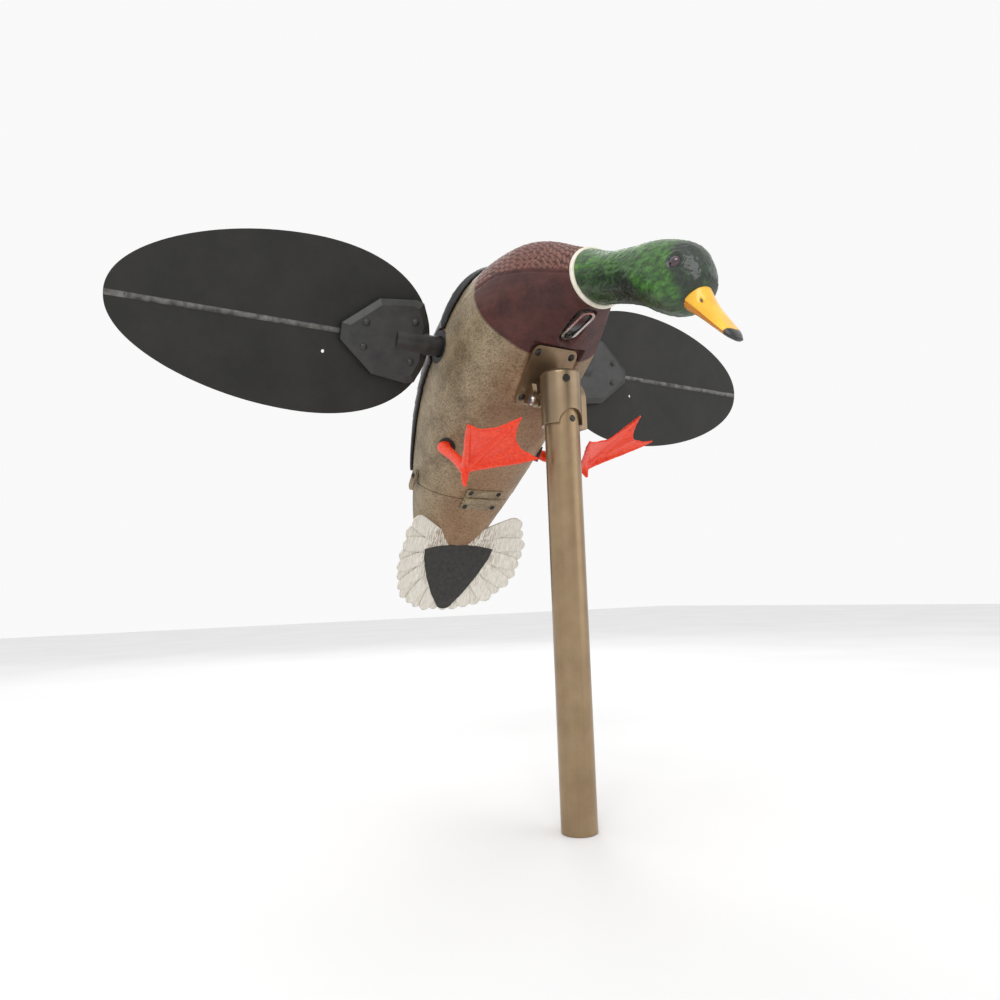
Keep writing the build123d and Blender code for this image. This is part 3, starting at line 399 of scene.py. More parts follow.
# ---------------------------------------------------------------- material helpers
class Nodes:
    """Short calls for building a node material."""

    def __init__(self, name, roughness=0.5, metallic=0.0, coat=0.0, specular=0.5):
        self.material = bpy.data.materials.new(name)
        self.material.use_nodes = True
        self.tree = self.material.node_tree
        self.shader = self.tree.nodes["Principled BSDF"]
        self.set("Roughness", roughness)
        self.set("Metallic", metallic)
        self.set("Coat Weight", coat)
        self.set("Specular IOR Level", specular)

    def set(self, socket, value):
        self.shader.inputs[socket].default_value = value

    def add(self, kind, **inputs):
        node = self.tree.nodes.new(kind)
        for key, value in inputs.items():
            setattr(node, key, value)
        return node

    def link(self, source, target):
        self.tree.links.new(source, target)

    def coords(self, scale=(1, 1, 1), rotation=(0, 0, 0)):
        texture = self.add("ShaderNodeTexCoord")
        mapping = self.add("ShaderNodeMapping")
        mapping.inputs["Scale"].default_value = scale
        mapping.inputs["Rotation"].default_value = rotation
        self.link(texture.outputs["Object"], mapping.inputs["Vector"])
        return mapping.outputs[0]

    def noise(self, scale, detail=4.0, roughness=0.5, vector=None):
        node = self.add("ShaderNodeTexNoise")
        node.inputs["Scale"].default_value = scale
        node.inputs["Detail"].default_value = detail
        node.inputs["Roughness"].default_value = roughness
        self.link(vector or self.coords(), node.inputs["Vector"])
        return node.outputs["Fac"]

    def ramp(self, value, stops):
        node = self.add("ShaderNodeValToRGB")
        elements = node.color_ramp.elements
        while len(elements) < len(stops):
            elements.new(0.5)
        for element, (place, color) in zip(elements, stops):
            element.position = place
            element.color = (*color, 1)
        self.link(value, node.inputs[0])
        return node.outputs[0]

    def mix(self, factor, a, b, blend="MIX"):
        node = self.add("ShaderNodeMix", data_type="RGBA", blend_type=blend)
        for socket, value in ((node.inputs[0], factor), (node.inputs[6], a), (node.inputs[7], b)):
            if isinstance(value, (tuple, list)):
                socket.default_value = (*value, 1)
            elif isinstance(value, (int, float)):
                socket.default_value = value
            else:
                self.link(value, socket)
        return node.outputs[2]

    def math(self, operation, a, b=0.0):
        node = self.add("ShaderNodeMath", operation=operation)
        for socket, value in zip(node.inputs, (a, b)):
            if isinstance(value, (int, float)):
                socket.default_value = value
            else:
                self.link(value, socket)
        return node.outputs[0]

    def attribute(self, name):
        node = self.add("ShaderNodeAttribute", attribute_name=name)
        return node.outputs["Fac"]

    def color(self, value):
        if isinstance(value, tuple):
            self.set("Base Color", (*value, 1))
        else:
            self.link(value, self.shader.inputs["Base Color"])

    def rough(self, value, low, high):
        node = self.add("ShaderNodeMapRange")
        node.inputs["To Min"].default_value = low
        node.inputs["To Max"].default_value = high
        self.link(value, node.inputs["Value"])
        self.link(node.outputs[0], self.shader.inputs["Roughness"])

    def bump(self, value, strength, distance):
        node = self.add("ShaderNodeBump")
        node.inputs["Strength"].default_value = strength
        node.inputs["Distance"].default_value = distance
        self.link(value, node.inputs["Height"])
        self.link(node.outputs[0], self.shader.inputs["Normal"])


def mottled(name, dark, light, scale, roughness=(0.4, 0.6), bump=0.2, fine=900, **kw):
    """Painted or moulded surface with soft colour drift and a fine tooth."""
    n = Nodes(name, **kw)
    drift = n.noise(scale, 6.0, 0.6)
    n.color(n.ramp(drift, [(0.3, dark), (0.7, light)]))
    n.rough(n.noise(scale * 3, 3.0), *roughness)
    n.bump(n.noise(fine, 3.0), bump, 0.0004)
    return n.material


def body_material():
    """Grey brown vermiculated flanks, chestnut breast and mantle."""
    n = Nodes("body_paint", 0.5, specular=0.35)
    chest = n.attribute("chestnut")
    crest = n.attribute("crest")
    warm = n.attribute("warm")
    lines = n.noise(1.0, 5.0, 0.7, n.coords((110, 420, 1300), (FEATHER_SLOPE, 0, 0)))
    drift = n.noise(34, 6.0, 0.65)
    flank = n.ramp(lines, [
        (0.34, (0.085, 0.058, 0.030)), (0.5, (0.235, 0.168, 0.092)), (0.66, (0.40, 0.31, 0.19))])
    blotch = n.ramp(drift, [(0.40, (0.13, 0.10, 0.062)), (0.62, (0.38, 0.31, 0.205))])
    flank = n.mix(0.5, flank, blotch)
    flank = n.mix(n.math("MULTIPLY", warm, 0.62), flank, (0.29, 0.145, 0.068))
    speck = n.ramp(n.noise(430, 5.0, 0.75), [(0.38, (0.25, 0.22, 0.18)), (0.50, (1, 1, 1))])
    flank = n.mix(0.6, flank, speck, "MULTIPLY")
    chest_drift = n.noise(60, 6.0, 0.65)
    chest_base = n.ramp(chest_drift, [(0.32, (0.032, 0.009, 0.008)), (0.68, (0.088, 0.025, 0.020))])
    edge = n.ramp(crest, [(0.50, (0, 0, 0)), (0.92, (1, 1, 1))])
    dry = n.math("MULTIPLY", edge, n.math("MULTIPLY", n.noise(220, 4.0, 0.7), 1.5))
    chest_color = n.mix(dry, chest_base, (0.26, 0.115, 0.085))
    n.color(n.mix(chest, flank, chest_color))
    n.rough(lines, 0.38, 0.6)
    n.bump(n.math("ADD", lines, n.noise(700, 3.0)), 0.35, 0.0005)
    return n.material


def saddle_material():
    """Grey brown scapulars over black flight feathers, whose black is partly painted shade ahead of the wing
    shaft.
    """
    n = Nodes("saddle_paint", 0.45, specular=0.4)
    band = n.attribute("band")
    brown = n.ramp(n.noise(45, 6.0, 0.7), [
        (0.3, (0.075, 0.042, 0.034)), (0.55, (0.15, 0.088, 0.066)), (0.75, (0.25, 0.17, 0.125))])
    tips = n.ramp(n.attribute("crest"), [(0.35, (0, 0, 0)), (0.95, (1, 1, 1))])
    brown = n.mix(n.math("MULTIPLY", tips, n.noise(160, 4.0, 0.7)), brown, (0.33, 0.25, 0.18))
    black = n.ramp(n.noise(80, 4.0), [(0.3, (0.008, 0.008, 0.009)), (0.8, (0.03, 0.028, 0.028))])
    n.color(n.mix(band, brown, black))
    n.rough(n.noise(90), 0.34, 0.55)
    n.bump(n.noise(500, 4.0, 0.6, n.coords((1, 1, 0.3), (FEATHER_SLOPE, 0, 0))), 0.35, 0.0006)
    return n.material


def head_material():
    """Mottled green head, dark crown and bill base, with painted shade on the lower cheeks and under the
    neck.
    """
    n = Nodes("head_paint", 0.34, coat=0.25, specular=0.5)
    dark = n.attribute("dark")
    flow = n.coords((340, 110, 170), (math.radians(25), 0, 0))
    strokes = n.noise(1.0, 6.0, 0.7, flow)
    green = n.ramp(strokes, [
        (0.3, (0.006, 0.020, 0.004)), (0.47, (0.022, 0.085, 0.010)),
        (0.62, (0.065, 0.20, 0.022)), (0.8, (0.19, 0.34, 0.07))])
    shade = n.ramp(strokes, [(0.35, (0.004, 0.007, 0.005)), (0.7, (0.016, 0.034, 0.016))])
    n.color(n.mix(dark, green, shade))
    n.rough(strokes, 0.24, 0.5)
    n.bump(n.math("ADD", strokes, n.noise(900, 3.0)), 0.45, 0.0005)
    return n.material


def bill_material():
    """Yellow bill, warmer below, with black nostrils and nail."""
    n = Nodes("bill_paint", 0.3, coat=0.35)
    n.set("Subsurface Weight", 0.05)
    yellow = n.ramp(n.noise(60, 4.0), [(0.3, (0.78, 0.38, 0.008)), (0.7, (0.90, 0.52, 0.03))])
    yellow = n.mix(n.attribute("lower"), yellow, (0.55, 0.17, 0.008))
    n.color(n.mix(n.attribute("black"), yellow, (0.006, 0.006, 0.006)))
    n.rough(n.noise(120), 0.26, 0.42)
    n.bump(n.noise(260, 4.0), 0.12, 0.0005)
    return n.material


def fan_material():
    """Cream tail feathers with fine grey-brown barbs near the cone."""
    n = Nodes("fan_paint", 0.55, specular=0.35)
    root = n.attribute("root")
    barbs = n.noise(1.0, 5.0, 0.7, n.coords((900, 120, 120), (math.radians(-60), 0, 0)))
    cream = n.ramp(barbs, [(0.3, (0.50, 0.45, 0.37)), (0.55, (0.72, 0.69, 0.62)), (0.8, (0.85, 0.84, 0.80))])
    streak = n.ramp(barbs, [(0.42, (0.20, 0.15, 0.10)), (0.56, (0.75, 0.70, 0.62))])
    n.color(n.mix(root, cream, streak))
    n.rough(barbs, 0.45, 0.7)
    n.bump(barbs, 0.4, 0.0005)
    return n.material


def foot_material():
    """Soft orange-red rubber."""
    n = Nodes("foot_orange", 0.38, specular=0.45)
    n.set("Subsurface Weight", 0.12)
    n.set("Subsurface Radius", (0.004, 0.001, 0.0004))
    skin = n.noise(320, 5.0, 0.65)
    n.color(n.ramp(skin, [
        (0.3, (0.66, 0.020, 0.001)), (0.55, (0.86, 0.042, 0.002)), (0.8, (0.95, 0.10, 0.008))]))
    n.rough(skin, 0.3, 0.5)
    n.bump(skin, 0.4, 0.0006)
    return n.material


def metal_paint(name, dark, light, roughness):
    """Satin powder coat with a faint metallic flake, wear and handling marks."""
    n = Nodes(name, roughness, metallic=0.8, specular=0.5)
    drift = n.noise(30, 5.0, 0.6)
    streak = n.noise(1.0, 5.0, 0.6, n.coords((260, 260, 6)))
    base = n.ramp(drift, [(0.3, dark), (0.7, light)])
    n.color(n.mix(n.math("MULTIPLY", streak, 0.35), base, tuple(c * 0.62 for c in dark)))
    n.rough(streak, roughness - 0.07, roughness + 0.1)
    n.bump(n.noise(2600, 2.0), 0.12, 0.0002)
    return n.material


def moulded_black(name, level=0.022, roughness=(0.3, 0.48)):
    """Dark moulded plastic or rubber at a grey level."""
    n = Nodes(name, 0.4, specular=0.5)
    drift = n.noise(70, 5.0, 0.6)
    n.color(n.ramp(drift, [(0.3, (level * 0.55,) * 3), (0.72, (level * 1.5, level * 1.45, level * 1.4))]))
    n.rough(n.noise(160, 3.0), *roughness)
    n.bump(n.noise(1500, 3.0), 0.22, 0.0003)
    return n.material


def wing_material():
    """Fine textured black coating, with a painted highlight of lighter grey along the rib over the wing's
    stem.
    """
    n = Nodes("wing_paint", 0.6, specular=0.35)
    rib_span = 5 * MM
    drift = n.noise(22, 6.0, 0.65)
    rib_highlight_noise = n.noise(140, 4.0)
    place = n.add("ShaderNodeSeparateXYZ")
    n.link(n.coords(), place.inputs[0])
    aside = n.math("SUBTRACT", place.outputs[1], SHAFT[1] * MM)
    above = n.math("SUBTRACT", place.outputs[2], SHAFT[2] * MM)
    reach = n.math("SQRT", n.math("ADD", n.math("MULTIPLY", aside, aside), n.math("MULTIPLY", above, above)))
    # Painted highlight: a thin band round the shaft's line, along the rib, is coloured lighter grey for the
    # light it catches.
    rib = n.ramp(n.math("MULTIPLY", reach, 1 / rib_span), [(0.46, (1, 1, 1)), (0.52, (0, 0, 0))])
    sheet = n.ramp(drift, [(0.3, (0.010, 0.010, 0.009)), (0.75, (0.021, 0.020, 0.018))])
    rib_highlight = n.ramp(rib_highlight_noise, [(0.35, (0.045, 0.043, 0.040)), (0.65, (0.16, 0.155, 0.145))])
    n.color(n.mix(rib, sheet, rib_highlight))
    n.rough(n.noise(900, 3.0), 0.5, 0.72)
    n.bump(n.noise(2300, 2.0), 0.3, 0.0003)
    return n.material


def board_material():
    """Green circuit board."""
    n = Nodes("board", 0.35)
    n.color(n.ramp(n.noise(400, 2.0), [(0.4, (0.01, 0.10, 0.03)), (0.6, (0.03, 0.20, 0.06))]))
    n.bump(n.noise(900), 0.1, 0.0002)
    return n.material


SURFACES = {
    "pole_paint": metal_paint("pole_paint", (0.27, 0.185, 0.105), (0.37, 0.265, 0.155), 0.3),
    "bracket_paint": metal_paint("bracket_paint", (0.24, 0.170, 0.105), (0.33, 0.245, 0.155), 0.3),
    "dark_steel": metal_paint("dark_steel", (0.03, 0.028, 0.025), (0.07, 0.062, 0.055), 0.35),
    "steel": mottled("steel", (0.45, 0.44, 0.42), (0.62, 0.61, 0.6), 60, (0.22, 0.4), 0.1, metallic=1.0),
    "body_paint": body_material(),
    "saddle_paint": saddle_material(),
    "ring_paint": mottled("ring_paint", (0.60, 0.55, 0.43), (0.82, 0.78, 0.68), 90, (0.45, 0.6), 0.3, 700),
    "head_paint": head_material(),
    "bill_paint": bill_material(),
    "eye_gloss": mottled(
        "eye_gloss", (0.010, 0.002, 0.005), (0.055, 0.010, 0.022), 160, (0.03, 0.08), 0.0, coat=1.0),
    "switch_trim": mottled(
        "switch_trim", (0.35, 0.33, 0.30), (0.6, 0.58, 0.55), 90, (0.08, 0.2), 0.05, metallic=0.9),
    "switch_black": moulded_black("switch_black", 0.015, (0.1, 0.25)),
    "wing_paint": wing_material(),
    "moulded_black": moulded_black("moulded_black"),
    "seal_rubber": moulded_black("seal_rubber", 0.012, (0.45, 0.7)),
    "magnet": mottled("magnet", (0.05, 0.05, 0.055), (0.1, 0.1, 0.1), 120),
    "copper_core": mottled("copper_core", (0.35, 0.14, 0.05), (0.6, 0.3, 0.12), 400, metallic=0.9),
    "grey_plastic": mottled("grey_plastic", (0.10, 0.10, 0.10), (0.16, 0.16, 0.155), 50),
    "battery_case": mottled("battery_case", (0.02, 0.02, 0.025), (0.045, 0.045, 0.05), 50),
    "board": board_material(),
    "board_black": moulded_black("board_black"),
    "lead_red": mottled("lead_red", (0.30, 0.01, 0.008), (0.5, 0.03, 0.02), 200, (0.25, 0.4)),
    "fan_paint": fan_material(),
    "coverts_paint": mottled(
        "coverts_paint", (0.008, 0.008, 0.007), (0.03, 0.028, 0.024), 240, (0.5, 0.75), 0.6, 420),
    "hinge_brass": mottled(
        "hinge_brass", (0.36, 0.23, 0.11), (0.62, 0.44, 0.24), 150, (0.25, 0.4), 0.15, metallic=0.8),
    "foot_orange": foot_material(),
}


def dress_cad_nodes():
    """Gives each carried-over CAD node its slot's material."""
    for part in frame["record"]["subparts"]:
        node = frame["nodes"][part["node"]]
        node.data.materials.clear()
        node.data.materials.append(SURFACES[part["material_slot"]])


# ---------------------------------------------------------------- body skin
def slope_frame(pitch):
    """In-plane direction towards the tail and outward normal of a belly facet."""
    along = np.array([0, math.cos(pitch), -math.sin(pitch)])
    outward = np.array([0, -math.sin(pitch), -math.cos(pitch)])
    return along, outward


def flatten(points, origin, pitch, half_size, level, soft, only_in=False):
    """Moves points over a rectangular facet onto its plane, with soft borders."""
    half_w, half_l = half_size
    deepest = 30
    along, outward = slope_frame(pitch)
    rel = points - origin
    u, v, w = np.abs(rel[..., 0]), np.abs(rel @ along), rel @ outward
    near = 1 - smooth(half_w, half_w + soft, u)
    near = near * (1 - smooth(half_l, half_l + soft, v)) * (np.abs(w) < deepest)
    shift = (level - w) * near
    if only_in:
        shift = np.minimum(shift, 0)
    return points + shift[..., None] * outward


def line_side(points, line):
    """Signed height above a polyline in the symmetry plane, roughly in mm."""
    y = points[..., 1]
    order = np.argsort(line[:, 0])
    z = np.interp(y, line[order, 0], line[order, 1])
    tilt = np.interp(y, line[order, 0], np.gradient(line[order, 1], line[order, 0]))
    return (points[..., 2] - z) / np.sqrt(1 + tilt ** 2)


def chestnut_mask(points):
    """1 in the breast and mantle, 0 on the flanks: the boundary runs down the flank to the plate."""
    y, z = points[..., 1], points[..., 2]
    limit = np.interp(z, CHESTNUT_Z, CHESTNUT_Y) + 0.75 * np.sin(z / 9.0)
    return 1 - smooth(-1.2, 1.2, y - limit)


def body_skin():
    """The whole painted body as one fine skin, cut at the hatch seam."""
    points, height, normal, length = loft(BODY, BODY_GRID)
    along = down_rows(points, length)
    across = girth(points, BODY_GRID[1] // 4)
    chest = chestnut_mask(points)
    above = line_side(points, PARTING)
    parting_end = 215
    rough = hash_noise(points, 11.0, 3.1)
    wander = hash_noise(points, 9.0, 8.3)
    scale = cobbles(along + 2.4 * rough, across + 2.4 * wander, *MANTLE_SCALE)
    mantle = chest * smooth(-1, 5, above)
    breast = chest * (1 - smooth(-1, 5, above))
    ticks = smooth(0.45, 0.75, hash_noise(np.stack([along * 0.5, across * 1.7, rough], -1), 1.9, 6.0))
    lift = mantle * 1.15 * (scale - 0.6) + breast * (0.30 * scale - 0.2 + 0.22 * ticks)
    flank_rows = hash_noise(np.stack([along, across * 0.22, rough], -1), 2.6, 1.7)
    flank_scales = feathers(along + 3 * rough, across, *FLANK_FEATHER)
    lift += (1 - chest) * (0.22 * flank_rows + 0.42 * (flank_scales - 0.5))
    lift -= groove(above, *PARTING_GROOVE) * (along < parting_end)
    lift -= groove((points - SEAM_POINT) @ SEAM_NORMAL, *SEAM_GROOVE)
    points = points + normal * (lift[..., None] - SKIN_INSET)
    points = flatten(points, PLATE_POINT, PLATE_PITCH, PLATE_SEAT, -PLATE_SINK, 2.5)
    points, slot_reach = press_switch(points)
    points = press_leaves(points)
    verts, faces = capped(points)
    belly = smooth(0.1, -0.7, height)
    values = {
        "slot": slot_reach, "chestnut": chest, "crest": scale * mantle + 0.62 * ticks * breast,
        "warm": smooth(60, 15, np.abs(points[..., 0])) * belly * smooth(40, 130, along)}
    for name, body, node_names, rear in (
            ("body_skin", "decoy", ("back_shell", "belly_shell"), False),
            ("tail_skin", "tail_hatch", ("tail_shell",), True)):
        obj = make_object(name, world(verts), faces, body, "body_paint")
        for key, value in values.items():
            paint(obj, key, with_ends(value, value[0, 0], value[-1, 0]))
        gap = SEAM_HALF_GAP if rear else -SEAM_HALF_GAP
        cut_plane(obj, (SEAM_POINT + SEAM_NORMAL * gap + SHAFT) * MM, SEAM_NORMAL, rear)
        if not rear:
            open_shaft_holes(obj)
            open_switch_slot(obj)
        clean(obj)
        thicken(obj, SKIN_WALL)
        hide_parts(*node_names)


def press_switch(points):
    """Presses an oval well in the breast for the switch and measures the distance from its middle."""
    along, outward = slope_frame(SWITCH_PITCH)
    rel = points - SWITCH_POINT
    v, w = rel @ along, rel @ outward
    reach = np.hypot(rel[..., 0], np.maximum(np.abs(v) - SWITCH_STRAIGHT, 0))
    reach = np.where(np.abs(w) < 14, reach, FAR)
    near = 1 - smooth(*SWITCH_WELL, reach)
    return points + ((-SWITCH_DEPTH - w) * near)[..., None] * outward, reach


def press_leaves(points):
    """Flat seats under the two hinge leaves, a little below the leaf's face."""
    low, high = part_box("hinge_pin")
    axis = np.array((low + high) / 2) / MM - SHAFT
    seam_dorsal = np.array([0, -SEAM_NORMAL[2], SEAM_NORMAL[1]])
    origin = axis + seam_dorsal * LEAF_RISE
    return flatten(points, origin, HINGE_PITCH, LEAF_SEAT, -LEAF_SINK, 1.0, only_in=True)


def open_shaft_holes(obj):
    """Opens a round hole for each wing seal and trims its rim to a circle."""
    bm = bmesh.new()
    bm.from_mesh(obj.data)
    centre = Vector(SHAFT * MM)
    radius = (SEAL_R + SEAL_GAP) * MM
    flank = 30 * MM

    def reach(v):
        return math.hypot(v.co.y - centre.y, v.co.z - centre.z)

    inside = [v for v in bm.verts if abs(v.co.x) > flank and reach(v) < radius]
    bmesh.ops.delete(bm, geom=inside, context="VERTS")
    rim = [v for v in bm.verts if v.is_boundary and abs(v.co.x) > flank and reach(v) < radius * 1.3]
    for v in rim:
        share = radius / reach(v)
        v.co.y = centre.y + (v.co.y - centre.y) * share
        v.co.z = centre.z + (v.co.z - centre.z) * share
    bm.to_mesh(obj.data)
    bm.free()


def open_switch_slot(obj):
    """Takes the floor out of the switch's well."""
    bm = bmesh.new()
    bm.from_mesh(obj.data)
    layer = bm.verts.layers.float["slot"]
    bmesh.ops.delete(bm, geom=[v for v in bm.verts if v[layer] < SWITCH_SLOT], context="VERTS")
    bm.to_mesh(obj.data)
    bm.free()


# ---------------------------------------------------------------- folded wings
def wing_saddle():
    """Folded wings over the back: scapulars above, stepped black flight feathers below, their black ahead of
    the shaft partly painted shade in the groove over the flank.
    """
    points, _, normal, length = loft(BODY, SADDLE_GRID)
    along = down_rows(points, length)
    across = girth(points)
    y = points[..., 1]
    edge = saddle_edge_distance(points)
    scale = feathers(along * 0.9 + 1.5 * hash_noise(points, 12.0, 5.5), across, *BACK_FEATHER)
    # The black band is the flight feathers. Ahead of the shaft, where it widens towards the shaft, it is
    # also painted shade for the shadowed groove between flank and folded wing.
    wide = FLIGHT_AND_SHADE_BAND * smooth(-66, -10, y)
    band = 1 - smooth(wide - 0.8, wide + 0.8, edge)
    shoulder = SADDLE_SHOULDER * smooth(8, -30, y) * smooth(0, 7, edge)
    lift = SADDLE_STAND + 0.8 * smooth(0, 3, edge) + shoulder + (1 - band) * (scale * 0.9 - 0.1)
    lift = lift - 1.1 * ridge(edge, wide, 0.9) - 0.5 * ridge(edge, wide / 2, 0.5) * band
    points = points + normal * lift[..., None]
    obj = make_object("folded_wings", world(points), grid_faces(*SADDLE_GRID), "decoy", "saddle_paint")
    paint(obj, "band", band)
    paint(obj, "edge", edge)
    paint(obj, "crest", scale)
    trim_to_edge(obj)
    cut_plane(obj, (SEAM_POINT - SEAM_NORMAL + SHAFT) * MM, SEAM_NORMAL, False)
    clean(obj)
    thicken(obj, SADDLE_WALL)
    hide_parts("wing_saddle")


def saddle_edge_distance(points):
    """Height above the folded wing's lower edge, positive inside the cover."""
    y, z = points[..., 1], points[..., 2]
    line = np.vstack([[(-78, 150)], SADDLE_LOWER, [(150, -90)]])
    best = np.full(y.shape, 1e9)
    sign = np.ones(y.shape)
    for a, b in zip(line[:-1], line[1:]):
        d = b - a
        t = np.clip(((y - a[0]) * d[0] + (z - a[1]) * d[1]) / (d @ d), 0, 1)
        dist = np.hypot(y - a[0] - t * d[0], z - a[1] - t * d[1])
        side = np.sign(d[0] * (z - a[1]) - d[1] * (y - a[0]))
        sign = np.where(dist < best, side, sign)
        best = np.minimum(best, dist)
    hole = np.hypot(y, z) - (SEAL_R + SADDLE_SEAL_GAP)
    return np.minimum(best * sign, np.where(np.abs(points[..., 0]) > 30, hole, FAR))


def trim_to_edge(obj):
    """Cuts the cover along its edge distance of zero."""
    bm = bmesh.new()
    bm.from_mesh(obj.data)
    layer = bm.verts.layers.float["edge"]
    rim = []
    for edge in list(bm.edges):
        near, far = edge.verts
        if near[layer] * far[layer] < 0:
            share = near[layer] / (near[layer] - far[layer])
            point = bmesh.utils.edge_split(edge, near, share)[1]
            point[layer] = 0
            rim.append(point)
    bmesh.ops.connect_verts(bm, verts=rim)
    bmesh.ops.delete(bm, geom=[v for v in bm.verts if v[layer] < 0], context="VERTS")
    bm.to_mesh(obj.data)
    bm.free()


# ---------------------------------------------------------------- head
def head_skin():
    """Green head with brush strokes, full cheeks, lidded eyes and a moulding seam down the neck."""
    points, height, normal, _ = loft(HEAD, HEAD_GRID)
    share = down_rows(points, 1)
    x, y, z = points[..., 0], points[..., 1], points[..., 2]
    strokes = hash_noise(np.stack([x * 2.2, y * 0.8, z * 1.6], -1), 3.0, 2.0)
    lift = 0.28 * strokes + 0.12 * hash_noise(points, 1.6, 4.0)
    lift += np.exp(-(((y - CHEEK[0]) / 14) ** 2 + ((z - CHEEK[1]) / 10) ** 2)) * (np.abs(x) > 8)
    for side in (-1, 1):
        d = np.linalg.norm(points - EYE * [side, 1, 1], axis=2)
        lift += 0.9 * ridge(d, EYE_LID, 1.3) - ridge(d, 0, 4.5)
    lift -= groove(height, *NECK_GROOVE) * (share < 0.62)
    closing = smooth(0.965, 1.0, share)
    centre = points.mean(axis=1, keepdims=True)
    points = points + normal * (lift * (1 - closing))[..., None]
    points = points + (centre - points) * (closing * 0.6)[..., None]
    verts, faces = capped(points)
    obj = make_object("head_skin", world(verts), faces, "decoy", "head_paint")
    eye_d = np.minimum(*[np.linalg.norm(points - EYE * [side, 1, 1], axis=2) for side in (1, -1)])
    dark = smooth(-266, -277, y) + smooth(9.5, 6.0, eye_d)
    # Painted shade: the lower side of the head and the underside of the neck are darkened.
    cheek_shade = smooth(-0.25, -0.8, height) * 0.75 * smooth(0.2, 0.5, share)
    throat_shade = 0.72 * smooth(0.05, -0.3, height) * smooth(0.66, 0.5, share)
    dark += cheek_shade + throat_shade
    dark += 0.5 * smooth(0.15, 0.05, np.abs(height - 0.75)) * smooth(0.55, 0.9, share)
    dark = np.clip(dark + 0.25 * hash_noise(points, 6.0, 9.0), 0, 1)
    paint(obj, "dark", with_ends(dark, 0, 1))
    clean(obj)
    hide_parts("head_shell")


def bill_skin():
    """Bill with nostrils, a mouth line and a black nail."""
    points, height, normal, _ = loft(BILL, BILL_GRID)
    share = down_rows(points, 1)
    x = points[..., 0]
    mouth = -0.28
    lift = -0.7 * ridge(height, mouth, 0.075) * smooth(0.0, 0.15, share) * (1 - smooth(0.9, 1, share))
    lift += 0.5 * ridge(height, -0.05, 0.1) * smooth(0.35, 0.6, share)
    nostril = np.exp(-(((share - 0.40) / 0.045) ** 2 + ((height - 0.60) / 0.14) ** 2))
    lift -= 1.1 * nostril
    lift += 0.10 * hash_noise(points, 3.0, 6.0)
    points = points + normal * lift[..., None]
    verts, faces = capped(points)
    obj = make_object("bill_skin", world(verts), faces, "decoy", "bill_paint")
    black = np.clip(smooth(0.5, 0.9, nostril) + smooth(0.885, 0.90, share + 0.02 * np.abs(x) / 8), 0, 1)
    paint(obj, "black", with_ends(black, 0, 1))
    lower = smooth(-0.2, -0.35, height) * 0.8 + 0.7 * ridge(height, mouth, 0.1)
    paint(obj, "lower", with_ends(np.clip(lower, 0, 1), 0, 1))
    clean(obj)
    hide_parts("bill")


def neck_ring():
    """Rounded cream collar, a little wider than high."""
    columns, rings = 120, 14
    middle, radius, bead = (-165.5, 22), 26.2, 2.4
    turn = np.linspace(0, 2 * math.pi, columns, endpoint=False)
    points = []
    for angle in np.linspace(0, 2 * math.pi, rings, endpoint=False):
        grow = radius + bead * math.cos(angle)
        y = np.full(columns, middle[0] - bead * math.sin(angle))
        points.append(np.stack([grow * 1.03 * np.cos(turn), y, middle[1] + grow * 0.965 * np.sin(turn)], -1))
    faces = grid_faces(rings, columns, ring=True)
    obj = make_object("collar", world(np.array(points)), faces, "decoy", "ring_paint")
    clean(obj)
    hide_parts("neck_ring")


# ---------------------------------------------------------------- tail fan
FAN_POINT = np.array([0.0, 92.0, -205.0])
FAN_PITCH = math.radians(60)
FAN_ALONG = np.array([0, math.cos(FAN_PITCH), -math.sin(FAN_PITCH)])
FAN_UP = np.array([0, math.sin(FAN_PITCH), math.cos(FAN_PITCH)])
# The fan is a slice of a wide arch: its half width and how far its sides hang below its middle.
FAN_HALF_W, FAN_SAG = 79.0, 18.0
FAN_REACH, FAN_SPREAD = 76.0, 77.0           # the outline's radius straight back and straight aside
FAN_R = (FAN_HALF_W ** 2 + FAN_SAG ** 2) / (2 * FAN_SAG)


def fan_place(x, v, lift):
    """Point on the arched fan: x across, v towards the tip, lift dorsal."""
    sag = np.sqrt(np.maximum(FAN_R ** 2 - x ** 2, 1)) - FAN_R + FAN_SAG / 2
    flat = FAN_POINT + np.multiply.outer(x, [1, 0, 0]) + np.multiply.outer(v, FAN_ALONG)
    return flat + np.multiply.outer(sag + lift, FAN_UP)


def fan_edge(turn):
    """Radius of the fan's outline at a turn from straight back, mm."""
    power = 2.3
    back, aside = np.abs(np.cos(turn) / FAN_REACH), np.abs(np.sin(turn) / FAN_SPREAD)
    return 1 / (back ** power + aside ** power) ** (1 / power)


def feather_blade(index, count):
    """One tail feather as a curved blade with a rounded tip and a raised shaft."""
    rows, columns = 34, 13
    spread, half_w = math.radians(122), 8.6
    turn = -spread + 2 * spread * index / (count - 1)
    reach = fan_edge(turn) * (1 + 0.012 * math.sin(index * 2.1))
    s = np.linspace(0.16, 1.0, rows)[:, None]
    c = np.linspace(-1, 1, columns)[None, :]
    tip = np.sqrt(np.clip(1 - np.clip((s - 0.86) / 0.14, 0, 1) ** 2.2, 0.02, 1))
    aside = half_w * tip * (0.4 + 0.6 * smooth(0.1, 0.5, s)) * c
    x = s * reach * math.sin(turn) + aside * math.cos(turn)
    v = -5 + s * reach * math.cos(turn) - aside * math.sin(turn)
    layer = 0.55 * (1 if index % 2 else -1) * s ** 0.5
    lift = layer + 0.35 * ridge(c, 0, 0.12) - 0.45 * c ** 2
    return fan_place(x, v, lift), np.broadcast_to(s, x.shape)


